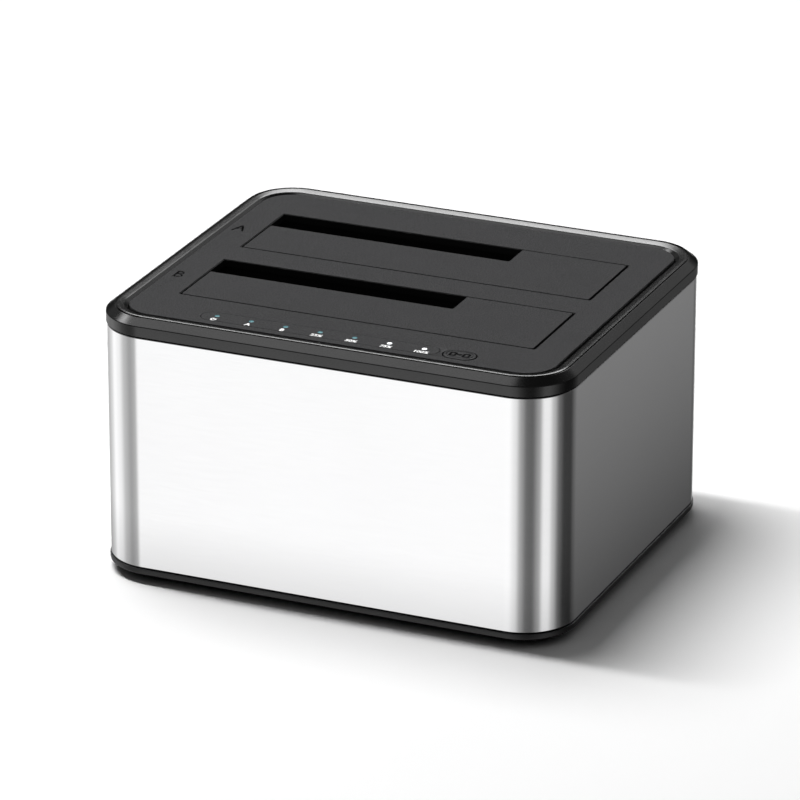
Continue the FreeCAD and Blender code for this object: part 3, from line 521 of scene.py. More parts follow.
plastics = {
    "bezelBlack": dict(colour=(0.005, 0.005, 0.005), roughness=0.2, bump=0.1, specular=0.75),
    "panelBlack": dict(
        colour=(0.038, 0.038, 0.039), roughness=0.27, scale=3000.0, speckle=0.12, bump=0.4, specular=0.06,
    ),
    "buttonBlack": dict(colour=(0.047, 0.047, 0.048), roughness=0.25, scale=3200.0, specular=0.06),
    "baseBlack": dict(colour=(0.026, 0.026, 0.027), roughness=0.4, specular=0.75),
    # the wells' own colour, also used for the painted shade in the bay openings, round the panel and at the
    # flaps' fronts
    "wellBlack": dict(colour=(0.018, 0.018, 0.018), roughness=0.5, scale=1800.0, specular=0.2),
    "footRubber": dict(colour=(0.02, 0.02, 0.02), roughness=0.8, scale=1500.0, speckle=0.15, bump=0.5),
    "connectorBlack": dict(colour=(0.03, 0.03, 0.031), roughness=0.38),
    "chipBlack": dict(colour=(0.02, 0.02, 0.021), roughness=0.55, scale=5200.0, speckle=0.16, bump=0.5),
    "jackBlack": dict(colour=(0.011, 0.011, 0.011), roughness=0.36),
    "rockerBlack": dict(colour=(0.015, 0.015, 0.015), roughness=0.3),
    "plungerGrey": dict(colour=(0.3, 0.3, 0.31), roughness=0.4),
    "ledWhite": dict(colour=(0.85, 0.84, 0.78), roughness=0.35),
    "printWhite": dict(colour=(0.95, 0.95, 0.95), roughness=0.6, scale=4000.0, speckle=0.05, bump=0.1),
    "markBlack": dict(
        colour=(0.004, 0.004, 0.004), roughness=0.8, scale=4000.0, speckle=0.05, bump=0.1, specular=0.0,
    ),
    "guideClear": {
        "colour": (0.9, 0.92, 0.93), "roughness": 0.06, "scale": 1200.0, "speckle": 0.02, "bump": 0.05,
        "Transmission Weight": 0.9, "IOR": 1.49,
    },
}
for name, look in plastics.items():
    mouldedPlastic(name, **look)

# colour, the roughness from its lowest to its highest, and the fineness of the grain
metals = {
    "satinAluminium": ((0.93, 0.93, 0.935), 0.12, 0.17, 3200.0),
    "pinSteel": ((0.62, 0.62, 0.63), 0.16, 0.28, 2200.0),
    "springSteel": ((0.5, 0.5, 0.51), 0.2, 0.34, 4200.0),
    "screwSteel": ((0.48, 0.47, 0.45), 0.24, 0.4, 3000.0),
    "canMetal": ((0.75, 0.75, 0.76), 0.2, 0.3, 2600.0),
    "portShell": ((0.68, 0.68, 0.67), 0.18, 0.3, 2800.0),
    "contactGold": ((0.92, 0.66, 0.28), 0.16, 0.26, 5000.0),
}
for name, look in metals.items():
    drawnMetal(name, *look)

lacquer("boardGreen", (0.008, 0.06, 0.025), (0.02, 0.11, 0.045))
ribbon("cableGrey", (0.36, 0.36, 0.37), (0.2, 0.2, 0.21))
lit("litBlue", (0.055, 0.145, 0.165), 0.6)
lit("litWhite", (0.95, 0.97, 1.0), 0.75)

slotMaterials = {snakeName(name): material for name, material in materials.items()}
slotMaterials["sleeve_aluminium"] = materials["satinAluminium"]
for node in nodes.values():
    for slot in node.material_slots:
        slot.material = slotMaterials[slot.material.name]
print("materials ready")


# Case.

sleeve = lengths(
    corner=14.7, wall=1.6, lip=0.2, gapLow=0.3, gapHigh=0.45, play=0.3, holeCorner=0.8, holeReach=6.0,
)
sleeveLow, sleeveHigh = nodeBox("body_sleeve")
usbLow, usbHigh = nodeBox("usb_port")
jack = lengths(nose=4.3, bore=3.15, boreDepth=10.5)
jackMiddle = nodeMiddle("dc_jack_pin")
rockerHole = lengths(x=-30.0, z=20.8, halfX=6.885, halfZ=4.5)


def throughRear(shape, x=0, z=0):
    # a cutter drawn flat, stood up through the rear wall
    return moved(turned(shape, "x", -90), (x, sleeveHigh[1], z))


def makeSleeve():
    s = sleeve
    x, y = sleeveHigh[:2]
    z0, z1 = sleeveLow[2] + s["gapLow"], sleeveHigh[2] - s["gapHigh"]
    levels = edgeLevels(z0, z1, s["lip"], 3, bothEdges=True) + [(s["wall"], z1), (s["wall"], z0)]
    ring = ringMaker(boxOutline(-x, x, -y, y, s["corner"], 28))
    shape = loft([ring(*level) for level in levels], closeRings=True)
    piece = addPiece("aluminiumSleeve", shape, "satinAluminium", "sleeve_aluminium", stands=["body_sleeve"])
    play, reach, corner = s["play"], s["holeReach"], s["holeCorner"]
    nose = revolve([(jack["nose"] + play, -reach), (jack["nose"] + play, reach)], 64)
    r = rockerHole
    ports = [
        (usbLow[0] - play, usbHigh[0] + play, -usbHigh[2] - play, -usbLow[2] + play),
        (r["x"] - r["halfX"], r["x"] + r["halfX"], -r["z"] - r["halfZ"], -r["z"] + r["halfZ"]),
    ]
    cutters = [throughRear(nose, jackMiddle[0], jackMiddle[2])]
    cutters += [throughRear(slab(*port, -reach, reach, corner)) for port in ports]
    cutFrom(piece, cutters)


bezel = dict(
    lengths(
        corner=15.0, facetInset=2.3, facetHeight=1.9, wallHeight=3.0, crest=1.3, line=0.1, lineWidth=0.42,
        lineDepth=0.5, groove=1.45, grooveFoot=0.3, ledge=1.2, ledgeHeight=2.0, skirt=2.1, skirtWidth=1.5,
        skirtDepth=2.5, soft=0.2, edge=0.12,
    ),
    crestFall=0.085, fall=0.18, grooveFall=0.58, steps=24,
)
bezelHigh = nodeBox("top_bezel")[1]
panelLow, panelHigh = nodeBox("top_panel")
panelCorner = bezel["corner"] - (bezelHigh[0] - panelHigh[0])
panelOutline = boxOutline(panelLow[0], panelHigh[0], panelLow[1], panelHigh[1], panelCorner, bezel["steps"])
panelTop = panelHigh[2]
panelUnder = panelTop - 2.2 * mm


def makeBezel():
    b = bezel
    z0, z1 = sleeveHigh[2], bezelHigh[2]
    facet = z0 + b["wallHeight"]
    x, y = bezelHigh[:2]
    outer = ringMaker(boxOutline(-x, x, -y, y, b["corner"], b["steps"]))
    inner = ringMaker(panelOutline)
    slope = b["facetHeight"] / b["facetInset"]
    level = b["facetInset"] + b["crest"]
    line, after, soft, edge = b["line"], b["line"] + b["lineWidth"], b["soft"], b["edge"]
    groove, foot = b["groove"], b["grooveFoot"]
    ledge, skirt = panelUnder - b["ledgeHeight"], b["skirt"] + b["skirtWidth"]

    def crest(inset, rise):
        # place on the crest, which falls gently outwards, by the distance from the facet's upper edge
        fall = (b["crest"] - max(inset, 0)) * b["crestFall"]
        return outer(b["facetInset"] + inset, z1 - fall + rise)

    def band(grow, below):
        # inner edge of the band: its height falls evenly with the distance from the outside of the ring
        edge = inner(-grow, z1)
        away = np.linalg.norm(edge - outer(0, z1), axis=1)
        edge[:, 2] -= (away - level) * b["fall"] + below
        return edge

    rings = [
        outer(edge, z0),
        outer(0, z0 + edge),
        outer(0, facet - soft),
        outer(soft * 0.12, facet - soft * 0.2),
        outer(soft * 0.6, facet + soft * 0.6 * slope),
        crest(-0.25 * mm, -0.25 * mm * slope),
        crest(-0.08 * mm, -0.05 * mm),
        crest(line - 0.06 * mm, 0),
        crest(line, -0.04 * mm),
        crest(line, -b["lineDepth"]),
        crest(after, -b["lineDepth"]),
        crest(after, -0.05 * mm),
        crest(after + 0.08 * mm, 0),
        outer(level - 0.15 * mm, z1 - 0.015 * mm),
        outer(level, z1),
        band(groove + 0.3 * mm, 0),
        band(groove + 0.04 * mm, 0.01 * mm),
        band(groove - 0.12 * mm, 0.08 * mm),
        band(foot, (groove - foot) * b["grooveFall"]),
        inner(-foot, panelUnder),
        inner(b["ledge"], panelUnder),
        inner(b["ledge"], ledge),
        outer(skirt, ledge),
        outer(skirt, z0 - b["skirtDepth"]),
        outer(b["skirt"], z0 - b["skirtDepth"]),
        outer(b["skirt"], z0),
    ]
    addPiece("coverRing", loft(rings, closeRings=True), "bezelBlack", stands=["top_bezel"], sharp=50)


bay = lengths(width=104.0, depth=29.2, corner=0.5)
bayHalf = bay["width"] / 2
bayFronts = lengths(a=5.5, b=-34.0)
stripLow, stripHigh = nodeBox("indicator_strip")
stripMiddle, rowMiddle = (stripLow[:2] + stripHigh[:2]) / 2
stripSize = (stripHigh - stripLow)[:2]
buttonLow, buttonHigh = nodeBox("clone_button")
buttonX = (buttonLow[0] + buttonHigh[0]) / 2
buttonCap = lengths(length=9.0, width=5.7)
panel = dict(
    lengths(
        edge=0.2, stripGap=0.06, buttonGap=0.3, bossHalf=2.1, bossCorner=0.4, bossEdge=0.2, bossRoot=0.1,
        bossHole=0.9, bossHeight=3.8, ledBossHeight=7.1, markX=-58.2, markFromFront=13.4, markSize=6.4,
        markDepth=0.35, markBold=0.07, floorBold=0.06, floorLow=0.05, floorHigh=0.02, liner=0.15,
        linerDrop=0.05, gasket=0.08, gasketRise=0.1,
    ),
    markNarrow=0.85,
)
shadeCollarTop = panelTop - panel["edge"] - panel["linerDrop"]
ledBossPlaces = [(x * mm, rowMiddle) for x in (-43.0, 44.5)]


def mirrored(x, rows):
    # a place to the left and one to the right in each row
    return [(side * x, y) for y in rows for side in (-1, 1)]


def besideBays(x, fromFront):
    return mirrored(x, [front + fromFront for front in bayFronts.values()])


lugPlaces = besideBays(57.9 * mm, 4.0 * mm)


def bayOutline(front):
    return boxOutline(-bayHalf, bayHalf, front, front + bay["depth"], bay["corner"], 4)


def makePanel():
    p = panel
    gap, buttonGap = p["stripGap"], p["buttonGap"]
    holes = [bayOutline(front) for front in bayFronts.values()]
    holes.append(pillOutline(stripMiddle, rowMiddle, stripSize[0] + 2 * gap, stripSize[1] + 2 * gap))
    length, width = (buttonCap[side] + 2 * buttonGap for side in ("length", "width"))
    holes.append(pillOutline(buttonX, rowMiddle, length, width))
    shapes = [plateWithHoles(panelOutline, holes, panelUnder, panelTop, p["edge"])]
    bosses = [(*place, p["bossHeight"]) for place in lugPlaces]
    bosses += [(*place, p["ledBossHeight"]) for place in ledBossPlaces]
    for x, y, height in bosses:
        plan = squareOutline(x, y, p["bossHalf"], p["bossCorner"], 3)
        hole = squareOutline(x, y, p["bossHole"], p["bossHole"] - 0.01 * mm, 4)
        levels = -panelUnder - p["bossRoot"], height - panelUnder
        shapes.append(flipped(plateWithHoles(plan, [hole], *levels, p["bossEdge"])))
    piece = addPiece("topPanel", joinShapes(shapes), "panelBlack", stands=["top_panel"])
    cut = panelTop - p["markDepth"]
    cutters, floors = [], []
    for key, front in bayFronts.items():
        place = (key.upper(), p["markSize"], p["markX"], front + p["markFromFront"])
        narrow, levels = p["markNarrow"], (cut - p["floorLow"], cut + p["floorHigh"])
        cutters.append(lettering(*place, cut, panelTop + 1 * mm, p["markBold"], narrow))
        floors.append(lettering(*place, *levels, p["floorBold"], narrow))
    cutFrom(piece, cutters)
    addPiece("bayLetters", joinShapes(floors), "markBlack", "panel_black", even=False)


def makeOpeningShade(key):
    # painted shade inside the opening: a thin dark collar from the well up to just under the panel's top edge
    shape = collar(bayOutline(bayFronts[key]), 0, panel["liner"], panelUnder, shadeCollarTop)
    addPiece("bayLiner_" + key, shape, "wellBlack", even=False)


def makeGrooveShade():
    # painted shade: thin dark band round the panel's side, seen at the foot of the groove beside it
    shape = collar(panelOutline, -panel["gasket"], 0, panelUnder + panel["gasketRise"], shadeCollarTop)
    addPiece("panelGasket", shape, "wellBlack", even=False)


makeSleeve()
makeBezel()
makePanel()
makeGrooveShade()
for key in bayFronts:
    makeOpeningShade(key)
print("case ready")


# Flaps.

flap = lengths(
    thickness=2.0, sideGap=0.75, frontGap=0.5, rearGap=0.45, edge=0.18, corner=0.5, soft=0.2, notchWidth=72.5,
    notchDepth=10.3, lipDepth=2.0, lipThickness=1.2, lipEndGap=4.0, ribHeight=1.0, ribThickness=1.2,
    armReach=6.0, sink=0.5, knuckleInset=0.9, knuckleLength=8.5, barrel=1.8, heelRound=0.3, tabWidth=4.0,
    tabRoot=3.0, tabReach=1.4, tabThickness=1.6, tabLeft=11.0, tabRight=22.0,
)
ribCount = 5


def makeFlap(key):
    f = flap
    front, soft = bayFronts[key], f["soft"]
    half = bayHalf - f["sideGap"]
    near, far = front + f["frontGap"], front + bay["depth"] - f["rearGap"]
    notchX, notchY = f["notchWidth"] - bayHalf, front + bay["depth"] - f["notchDepth"]
    under = panelTop - f["thickness"]
    corners = [(-half, near), (half, near), (half, far), (notchX, far), (notchX, notchY), (-half, notchY)]
    outline = lambda inset: cornerLoop(corners, f["corner"], inset, 4)
    parts = [plateWithHoles(outline, [], under, panelTop, f["edge"])]

    lipX, lipY = notchX + f["lipThickness"], notchY - f["lipThickness"]
    left, rear = f["lipEndGap"] - half, far - f["lipEndGap"]
    lip = [(left, lipY), (lipX, lipY), (lipX, rear), (notchX, rear), (notchX, notchY), (left, notchY)]
    outline = lambda inset: cornerLoop(lip, soft, inset, 3)
    parts.append(prism(outline, under - f["lipDepth"], under + soft, soft))

    knuckleOut = half - f["knuckleInset"]
    knuckleIn = knuckleOut - f["knuckleLength"]
    w, root = f["ribThickness"] / 2, under + soft
    for i in range(ribCount):
        x = 2 * knuckleIn * (i + 1) / (ribCount + 1) - knuckleIn
        ends = near + f["armReach"], lipY + soft
        parts.append(slab(x - w, x + w, *ends, under - f["ribHeight"], root, soft, soft, True))
    low = panelUnder - f["tabThickness"]
    for side, place in ((-1, f["tabLeft"]), (1, f["tabRight"])):
        y = front + place
        for out, high in ((bayHalf + f["tabReach"], panelUnder - 0.02 * mm), (half, root)):
            x0, x1 = sorted((side * (half - f["tabRoot"]), side * out))
            parts.append(slab(x0, x1, y, y + f["tabWidth"], low, high, soft, soft, True))

    _, pinY, pinZ = nodeMiddle("flap_pin_" + key)
    b, arm = f["barrel"], f["armReach"]
    drop, heel = under - pinZ, near - pinY
    roof = drop + f["sink"]
    knuckle = [(-b, -b), (b, -b), (arm, drop), (arm, roof), (heel, roof), (heel, b), (-b, b)]
    rounds = np.array([b, b, f["heelRound"], soft, soft, f["heelRound"], b]) * 0.99
    outline = lambda inset: cornerLoop(knuckle, rounds, inset, 8) + [pinY, pinZ]
    for ends in ((-knuckleOut, -knuckleIn), (knuckleIn, knuckleOut)):
        parts.append(prism(outline, *ends, soft, "x"))
    body = "flap_" + key
    addPiece("bayFlap_" + key, joinShapes(parts), "panelBlack", None, body, ["bay_flap_" + key], sharp=40)
    # painted shade: a thin dark sheet on the flap's front face, so the gap in front of the flap reads dark
    end = half - soft
    frontShade = brick((-end, near - 0.04 * mm, root), (end, near + 0.02 * mm, panelTop - f["edge"]))
    addPiece("flapSeal_" + key, frontShade, "wellBlack", "panel_black", body, even=False)


spring = dict(lengths(wire=0.2, coil=1.35, touchUp=2.16, touchFront=1.96), start=-60.0, finish=-30.0, turns=2)


def makeSpring(key):
    # centre line round the pin at the coil's radius, falling from the start angle to the finish angle as it
    # runs along X; each leg leaves it along its tangent, one up to the flap and one to the wall in front
    low, high = nodeBox("flap_spring_" + key)
    pin = nodeMiddle("flap_pin_" + key)
    wire, radius = spring["wire"], spring["coil"]
    x0, x1 = low[0] + wire, high[0] - wire
    start, finish = math.radians(spring["start"]), math.radians(spring["finish"])
    t = np.linspace(0, 1, 90)[:, None]
    angle = start - (2 * math.pi * spring["turns"] + start - finish) * t
    coil = np.hstack([x0 + (x1 - x0) * t, radius * np.cos(angle), radius * np.sin(angle)])
    up = (spring["touchUp"] - radius * math.sin(start)) / math.cos(start)
    front = (spring["touchFront"] + radius * math.cos(finish)) / -math.sin(finish)
    run = np.linspace(0, 1, 8)[1:, None]
    first = coil[0] + up * run[::-1] * [0, -math.sin(start), math.cos(start)]
    last = coil[-1] + front * run * [0, math.sin(finish), -math.cos(finish)]
    path = np.concatenate([first, coil, last]) + [0, pin[1], pin[2]]
    piece = addMesh("flapSpring_" + key, tube(path, wire))
    piece.data.materials.append(materials["springSteel"])
    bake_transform(piece)
    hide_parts("flap_spring_" + key)


for key in bayFronts:
    makeFlap(key)
    makeSpring(key)
print("flaps ready")


# Indicator row and start button.

row = lengths(
    lens=0.7, crown=0.06, play=0.03, guide=1.5, guideEdge=0.12, stripEdge=0.17, labelDrop=2.55, labelSize=2.0,
    letterSize=2.3, print=0.015, bold=0.09, boldSmall=0.075, powerRadius=0.66, powerLine=0.42, powerLow=0.1,
    powerHigh=0.8,
)
blueCount = 5
rowLabels = ["", "A", "B", "25%", "50%", "75%", "100%"]
lensPlaces = [nodeMiddle("light_guide_%d" % (i + 1))[:2] for i in range(len(rowLabels))]


def makeStrip():
    holes = [roundHole(x, y, row["lens"] + row["play"]) for x, y in lensPlaces]
    outline = pillOutline(stripMiddle, rowMiddle, *stripSize)
    strip = plateWithHoles(outline, holes, panelUnder, panelTop, row["stripEdge"], 3)
    addPiece("indicatorStrip", strip, "panelBlack", stands=["indicator_strip"])


def makeLightGuide(number):
    # round lens with a low crown: radius cos t, height crown sin t; thicker below the panel, down to its lamp
    x, y = lensPlaces[number]
    name = "light_guide_%d" % (number + 1)
    low = nodeBox(name)[0][2]
    lens, body, edge = row["lens"], row["guide"], row["guideEdge"]
    t = np.linspace(0, math.pi / 2, 7)
    dome = np.stack([lens * np.cos(t), panelTop - row["play"] + row["crown"] * np.sin(t)], -1)
    high = panelUnder
    stem = [(0, low), (body - edge, low), (body, low + edge), (body, high - edge), (body - edge, high)]
    shape = moved(revolve([*stem, (lens, high), *dome], 24), (x, y, 0))
    look = "litBlue" if number < blueCount else "litWhite"
    addPiece("lightGuide_%d" % (number + 1), shape, look, "guide_clear", stands=[name])


def makeRowLabels():
    # a word below each lens, and below the first a power sign: an open ring with a stroke in its gap
    levels = panelTop - row["print"], panelTop + row["print"]
    shapes = []
    for (x, y), words in zip(lensPlaces[1:], rowLabels[1:]):
        size, bold = ("letterSize", "bold") if len(words) == 1 else ("labelSize", "boldSmall")
        shapes.append(lettering(words, row[size], x, y - row["labelDrop"], *levels, row[bold]))
    x, y = lensPlaces[0] - [0, row["labelDrop"]]
    angle = np.radians(np.linspace(130, 410, 22))[:, None]
    ring = (x, y) + row["powerRadius"] * np.hstack([np.cos(angle), np.sin(angle)])
    for path in (ring, [(x, y + row["powerLow"]), (x, y + row["powerHigh"])]):
        shapes.append(bar(path, row["powerLine"], *levels))
    addPiece("rowLabels", joinShapes(shapes), "printWhite", "panel_black", even=False)


button = lengths(
    flange=1.2, flangeThickness=1.2, flangeEdge=0.15, edge=0.3, line=0.6, lineWidth=0.32, lineDepth=0.2,
    dish=0.05, dishInset=0.6, stem=1.4, pageX=0.75, pageY=1.0, pageShift=1.9, pageCorner=0.25, signLine=0.6,
    arrowStart=-0.75, arrowNeck=0.2, headStart=0.05, headEnd=0.85, headHalf=0.65,
)


def makeButton():
    b = button
    x, y, top = buttonX, rowMiddle, buttonHigh[2]
    low = panelUnder - b["flangeThickness"]
    grow, edge = b["flange"], b["flangeEdge"]
    line, after, depth = b["line"], b["line"] + b["lineWidth"], top - b["lineDepth"]
    levels = [(edge - grow, low), (-grow, low + edge), (-grow, panelUnder - edge), (edge - grow, panelUnder)]
    levels += edgeLevels(panelUnder, top, b["edge"], 4)
    levels += [(line, top), (line + 0.04 * mm, depth), (after - 0.04 * mm, depth), (after, top - 0.02 * mm)]
    levels.append((after + b["dishInset"], top - b["dish"]))
    ring = ringMaker(pillOutline(x, y, buttonCap["length"], buttonCap["width"]))
    half = b["stem"]
    stem = slab(x - half, x + half, y - half, y + half, buttonLow[2], low + edge, 0.2 * mm)
    shape = joinShapes([loft([ring(*level) for level in levels], caps=True), stem])
    addPiece("startButton", shape, "buttonBlack", None, "start_button", ["clone_button"])

    # copy sign: an arrow between two pages
    signLevels = top - 0.1 * mm, top - b["dish"] + 0.02 * mm
    signs = []
    px, py = b["pageX"], b["pageY"]
    for side in (-1, 1):
        page = roundedLoop(-px, px, -py, py, b["pageCorner"], 0, 4) + [x + side * b["pageShift"], y]
        signs.append(bar(page, b["signLine"], *signLevels, closed=True))
    signs.append(bar([(x + b["arrowStart"], y), (x + b["arrowNeck"], y)], b["signLine"], *signLevels))
    back, tip, half = x + b["headStart"], x + b["headEnd"], b["headHalf"]
    head = np.array([(back, y - half), (tip, y), (back, y + half)])
    signs.append(prism(lambda inset: head, *signLevels))
    addPiece("copySign", joinShapes(signs), "markBlack", "button_black", "start_button", even=False)


makeStrip()
for number in range(len(rowLabels)):
    makeLightGuide(number)
makeRowLabels()
makeButton()
print("indicator row ready")


# Base with its feet and screws.

baseLow, baseHigh = nodeBox("base_plate")
base = dict(
    lengths(
        corner=15.0, taper=2.5, taperHeight=1.4, wall=1.5, skirt=2.1, inner=3.6, ringHeight=3.0, floor=2.4,
        ventX=24.0, ventLength=24.0, ventWidth=2.0, ventPitch=5.0, bossHalf=3.9, bossHeight=8.1, bossHole=1.7,
        recess=3.15, recessDepth=5.0, standoffHalf=2.8, standoffHole=1.25, edge=0.3,
    ),
    ventCount=7, steps=24,
)
bossPlaces = besideBays(59.4 * mm, 14.2 * mm)
standoffPlaces = mirrored(48.1 * mm, (-41.2 * mm, 48.0 * mm))


def squarePosts(places, half, hole, z0, z1, edge=0.0):
    plan, holes = squareOutline(0, 0, half, 0.5 * mm, 3), [roundHole(0, 0, hole)]
    return repeated(plateWithHoles(plan, holes, z0, z1, edge, 3), [(*place, 0) for place in places])


def makeBase():
    b = base
    x, y = baseHigh[:2]
    z0 = baseLow[2]
    edge = z0 + b["taperHeight"]
    rim = edge + b["wall"]
    top = rim + b["ringHeight"]
    inside = z0 + b["floor"]
    taper, skirt, inner = b["taper"], b["skirt"], b["inner"]
    section = [
        (inner, z0), (taper + 0.3 * mm, z0), (taper - 0.25 * mm, z0 + 0.12 * mm),
        (0.3 * mm, edge - 0.18 * mm), (0.06 * mm, edge + 0.02 * mm), (0, edge + 0.3 * mm),
        (0, rim - 0.2 * mm), (0.06 * mm, rim - 0.06 * mm), (0.2 * mm, rim), (skirt, rim),
        (skirt, top - 0.3 * mm), (skirt + 0.3 * mm, top), (inner, top), (inner, inside),
    ]
    outline = boxOutline(-x, x, -y, y, b["corner"], b["steps"])
    ring = ringMaker(outline)
    shapes = [loft([ring(*point) for point in section], closeRings=True)]

    holes = [roundHole(*place, b["recess"], 32) for place in bossPlaces]
    half, length = b["ventWidth"] / 2, b["ventLength"]
    for side in (-1, 1):
        for i in range(b["ventCount"]):
            middle = (i - (b["ventCount"] - 1) / 2) * b["ventPitch"]
            left = side * b["ventX"] - length / 2
            holes.append(boxOutline(left, left + length, middle - half, middle + half, half - 1e-6, 5))
    shapes.append(flipped(plateWithHoles(lambda inset: outline(inner), holes, -inside, -z0, 0.25 * mm, 3)))
    seat = z0 + b["recessDepth"]
    bossTop = inside + b["bossHeight"]
    shapes += [
        squarePosts(bossPlaces, b["bossHalf"], b["recess"], inside, seat),
        squarePosts(bossPlaces, b["bossHalf"], b["bossHole"], seat, bossTop, b["edge"]),
        squarePosts(standoffPlaces, b["standoffHalf"], b["standoffHole"], inside, baseHigh[2], b["edge"]),
    ]
    addPiece("baseTray", joinShapes(shapes), "baseBlack", stands=["base_plate"], sharp=40)


# stuck-on disc with a rounded rim and a shallow dish in its tread: (radius, height) in millimetres
footSection = [
    (0, 0.35), (4.3, 0.35), (4.6, 0.1), (4.8, 0), (5.5, 0), (5.85, 0.12), (6, 0.4), (6, 1.5), (0, 1.5),
]


def makeFoot(node):
    x, y, _ = nodeMiddle(node)
    shape = moved(revolve(np.array(footSection) * mm), (x, y, 0))
    name = "foot" + "".join(word.capitalize() for word in node.split("_")[1:])
    addPiece(name, shape, "footRubber", stands=[node])


# places, then in millimetres: shank radius, head radius, head height, length and height of the seat
screws = {
    "case": (bossPlaces, 1.45, 2.9, 1.6, 16.0, 6.5),
    "well": (lugPlaces, 0.95, 1.8, 1.4, 5.0, 68.3),
    "board": (standoffPlaces, 1.2, 2.3, 1.6, 7.0, 14.5),
    "indicator": (ledBossPlaces, 0.95, 1.8, 1.4, 5.0, 65.8),
}


def makeScrews(name, places, shank, head, height, length, seat):
    # pan head: the depth under the seat is an ellipse of the radius, less a cross of two rounded valleys
    share = np.linspace(0.02, 1, 16)[:, None]
    x, y = (head * share * side for side in circleLoop(0, 0, 1, 56).T)
    dome = height * (0.45 + 0.55 * np.sqrt(1 - (0.97 * share) ** 2))
    slot, reach = 0.15 * head, 0.6 * head
    near, far = np.minimum(abs(x), abs(y)), np.maximum(abs(x), abs(y))
    cross = np.clip((slot - near) / (0.3 * slot), 0, 1) * np.clip((reach - far) / (0.4 * head), 0, 1)
    face = np.stack(np.broadcast_arrays(x, y, -dome + 0.6 * height * cross), -1)
    lower = [(head, -0.3 * height), (head, 0), (shank, 0), (shank, length - shank), (0.2 * shank, length)]
    rest = [atHeight(circleLoop(0, 0, radius, 56), z) for radius, z in lower]
    shape = loft(np.concatenate([face, rest]), caps=True)
    if name == "board":
        shape = flipped(shape)
    shape = repeated((shape[0] * mm, shape[1]), [(*place, seat * mm) for place in places])
    addPiece(name + "Screws", shape, "screwSteel", stands=[name + "_screws"])


makeBase()
for node in nodes:
    if node.startswith("foot_"):
        makeFoot(node)
for name, sizes in screws.items():
    makeScrews(name, *sizes)
print("base ready")


# Sockets and rocker in the rear wall.

faceY = usbHigh[1]
boardTop = nodeBox("main_board")[1][2]


def socketBody(plan, hole, back, depth, front, edge=0.2 * mm):
    # closed block behind a plate with the socket's opening, drawn in (x, z) and facing back
    return [plateWithHoles(plan, [hole], depth, front, edge), prism(plan, back, depth, edge)]


def makeJack():
    low, high = nodeBox("dc_jack")
    x, _, z = jackMiddle
    nose, bore = jack["nose"], jack["bore"]
    wall = sleeveHigh[1] - sleeve["wall"] - 0.2 * mm - faceY
    rim = [
        (nose, wall - 0.3 * mm), (nose, -0.25 * mm), (nose - 0.08 * mm, -0.07 * mm), (nose - 0.25 * mm, 0),
        (bore + 0.35 * mm, 0), (bore + 0.1 * mm, -0.12 * mm), (bore, -0.35 * mm), (bore, wall - 0.3 * mm),
    ]
    plan = boxOutline(low[0] - x, high[0] - x, low[2] - z, high[2] - z, 0.5 * mm, 4)
    body = socketBody(plan, roundHole(0, 0, bore, 48), low[1] - faceY, -jack["boreDepth"], wall)
    shape = facingBack(joinShapes([revolve(rim, closed=True), *body]))
    addPiece("dcJack", moved(shape, (x, faceY, z)), "jackBlack", stands=["dc_jack"])


usb = lengths(
    halfWidth=4.25, floor=0.9, step=7.8, upperHalf=2.9, upper=2.7, depth=11.0, contactInset=2.3,
    contactThick=0.08, wideX=1.25, wideHalf=0.5, wideZ=1.6, fineX=0.8, fineHalf=0.2, fineZ=0.5,
)


def makeUsb():
    # shell round a type-B opening: a wide lower bay with cut corners and a narrow bay over it
    u = usb
    x = (usbLow[0] + usbHigh[0]) / 2
    low = usbLow[2] + u["floor"]
    step = low + u["step"]
    top = step + u["upper"]
    a, b = u["halfWidth"], u["upperHalf"]
    right = np.array([(a, low), (a, step - (a - b)), (b, step), (b, top)])
    opening = np.roll(np.concatenate([right, right[::-1] * [-1, 1]]), 1, 0) + [x, 0]
    plan = boxOutline(usbLow[0], usbHigh[0], usbLow[2], usbHigh[2], 0.7 * mm, 5)
    root, tip = faceY - u["depth"], faceY - u["contactInset"]
    body = socketBody(plan, lambda inset: cornerLoop(opening, 0.3 * mm, inset, 3), usbLow[1], root, faceY)
    addPiece("usbShell", facingBack(joinShapes(body)), "portShell", stands=["usb_port"])

    # four wide contacts round the tongue of the lower bay and five fine ones in the upper bay
    middle, blade, thick = low + u["step"] / 2, step + u["upper"] / 2 - u["fineZ"], u["contactThick"]
    strips = [(i * u["wideX"], u["wideHalf"], middle + k * u["wideZ"]) for k in (1, -1) for i in (-1, 1)]
    strips += [(i * u["fineX"], u["fineHalf"], blade) for i in range(-2, 3)]
    contacts = [brick((x + i - w, root, z - thick), (x + i + w, tip, z + thick)) for i, w, z in strips]
    addPiece("usbContacts", joinShapes(contacts), "contactGold", "connector_black", even=False)


rocker = dict(
    lengths(
        half=6.2, height=8.4, endRise=3.2, middleRise=2.4, sideRise=1.2, footHalf=2.6, footDrop=3.0,
        edge=0.45, axle=0.9, axleLow=-4.9, axleHigh=5.2, sink=0.05, markX=3.9, markLine=0.35, markSize=1.1,
    ),
    tilt=-8.0, rounds=[0.5, 0.8, 0.8, 0.5, 0.5, 12.0, 0.5],
)


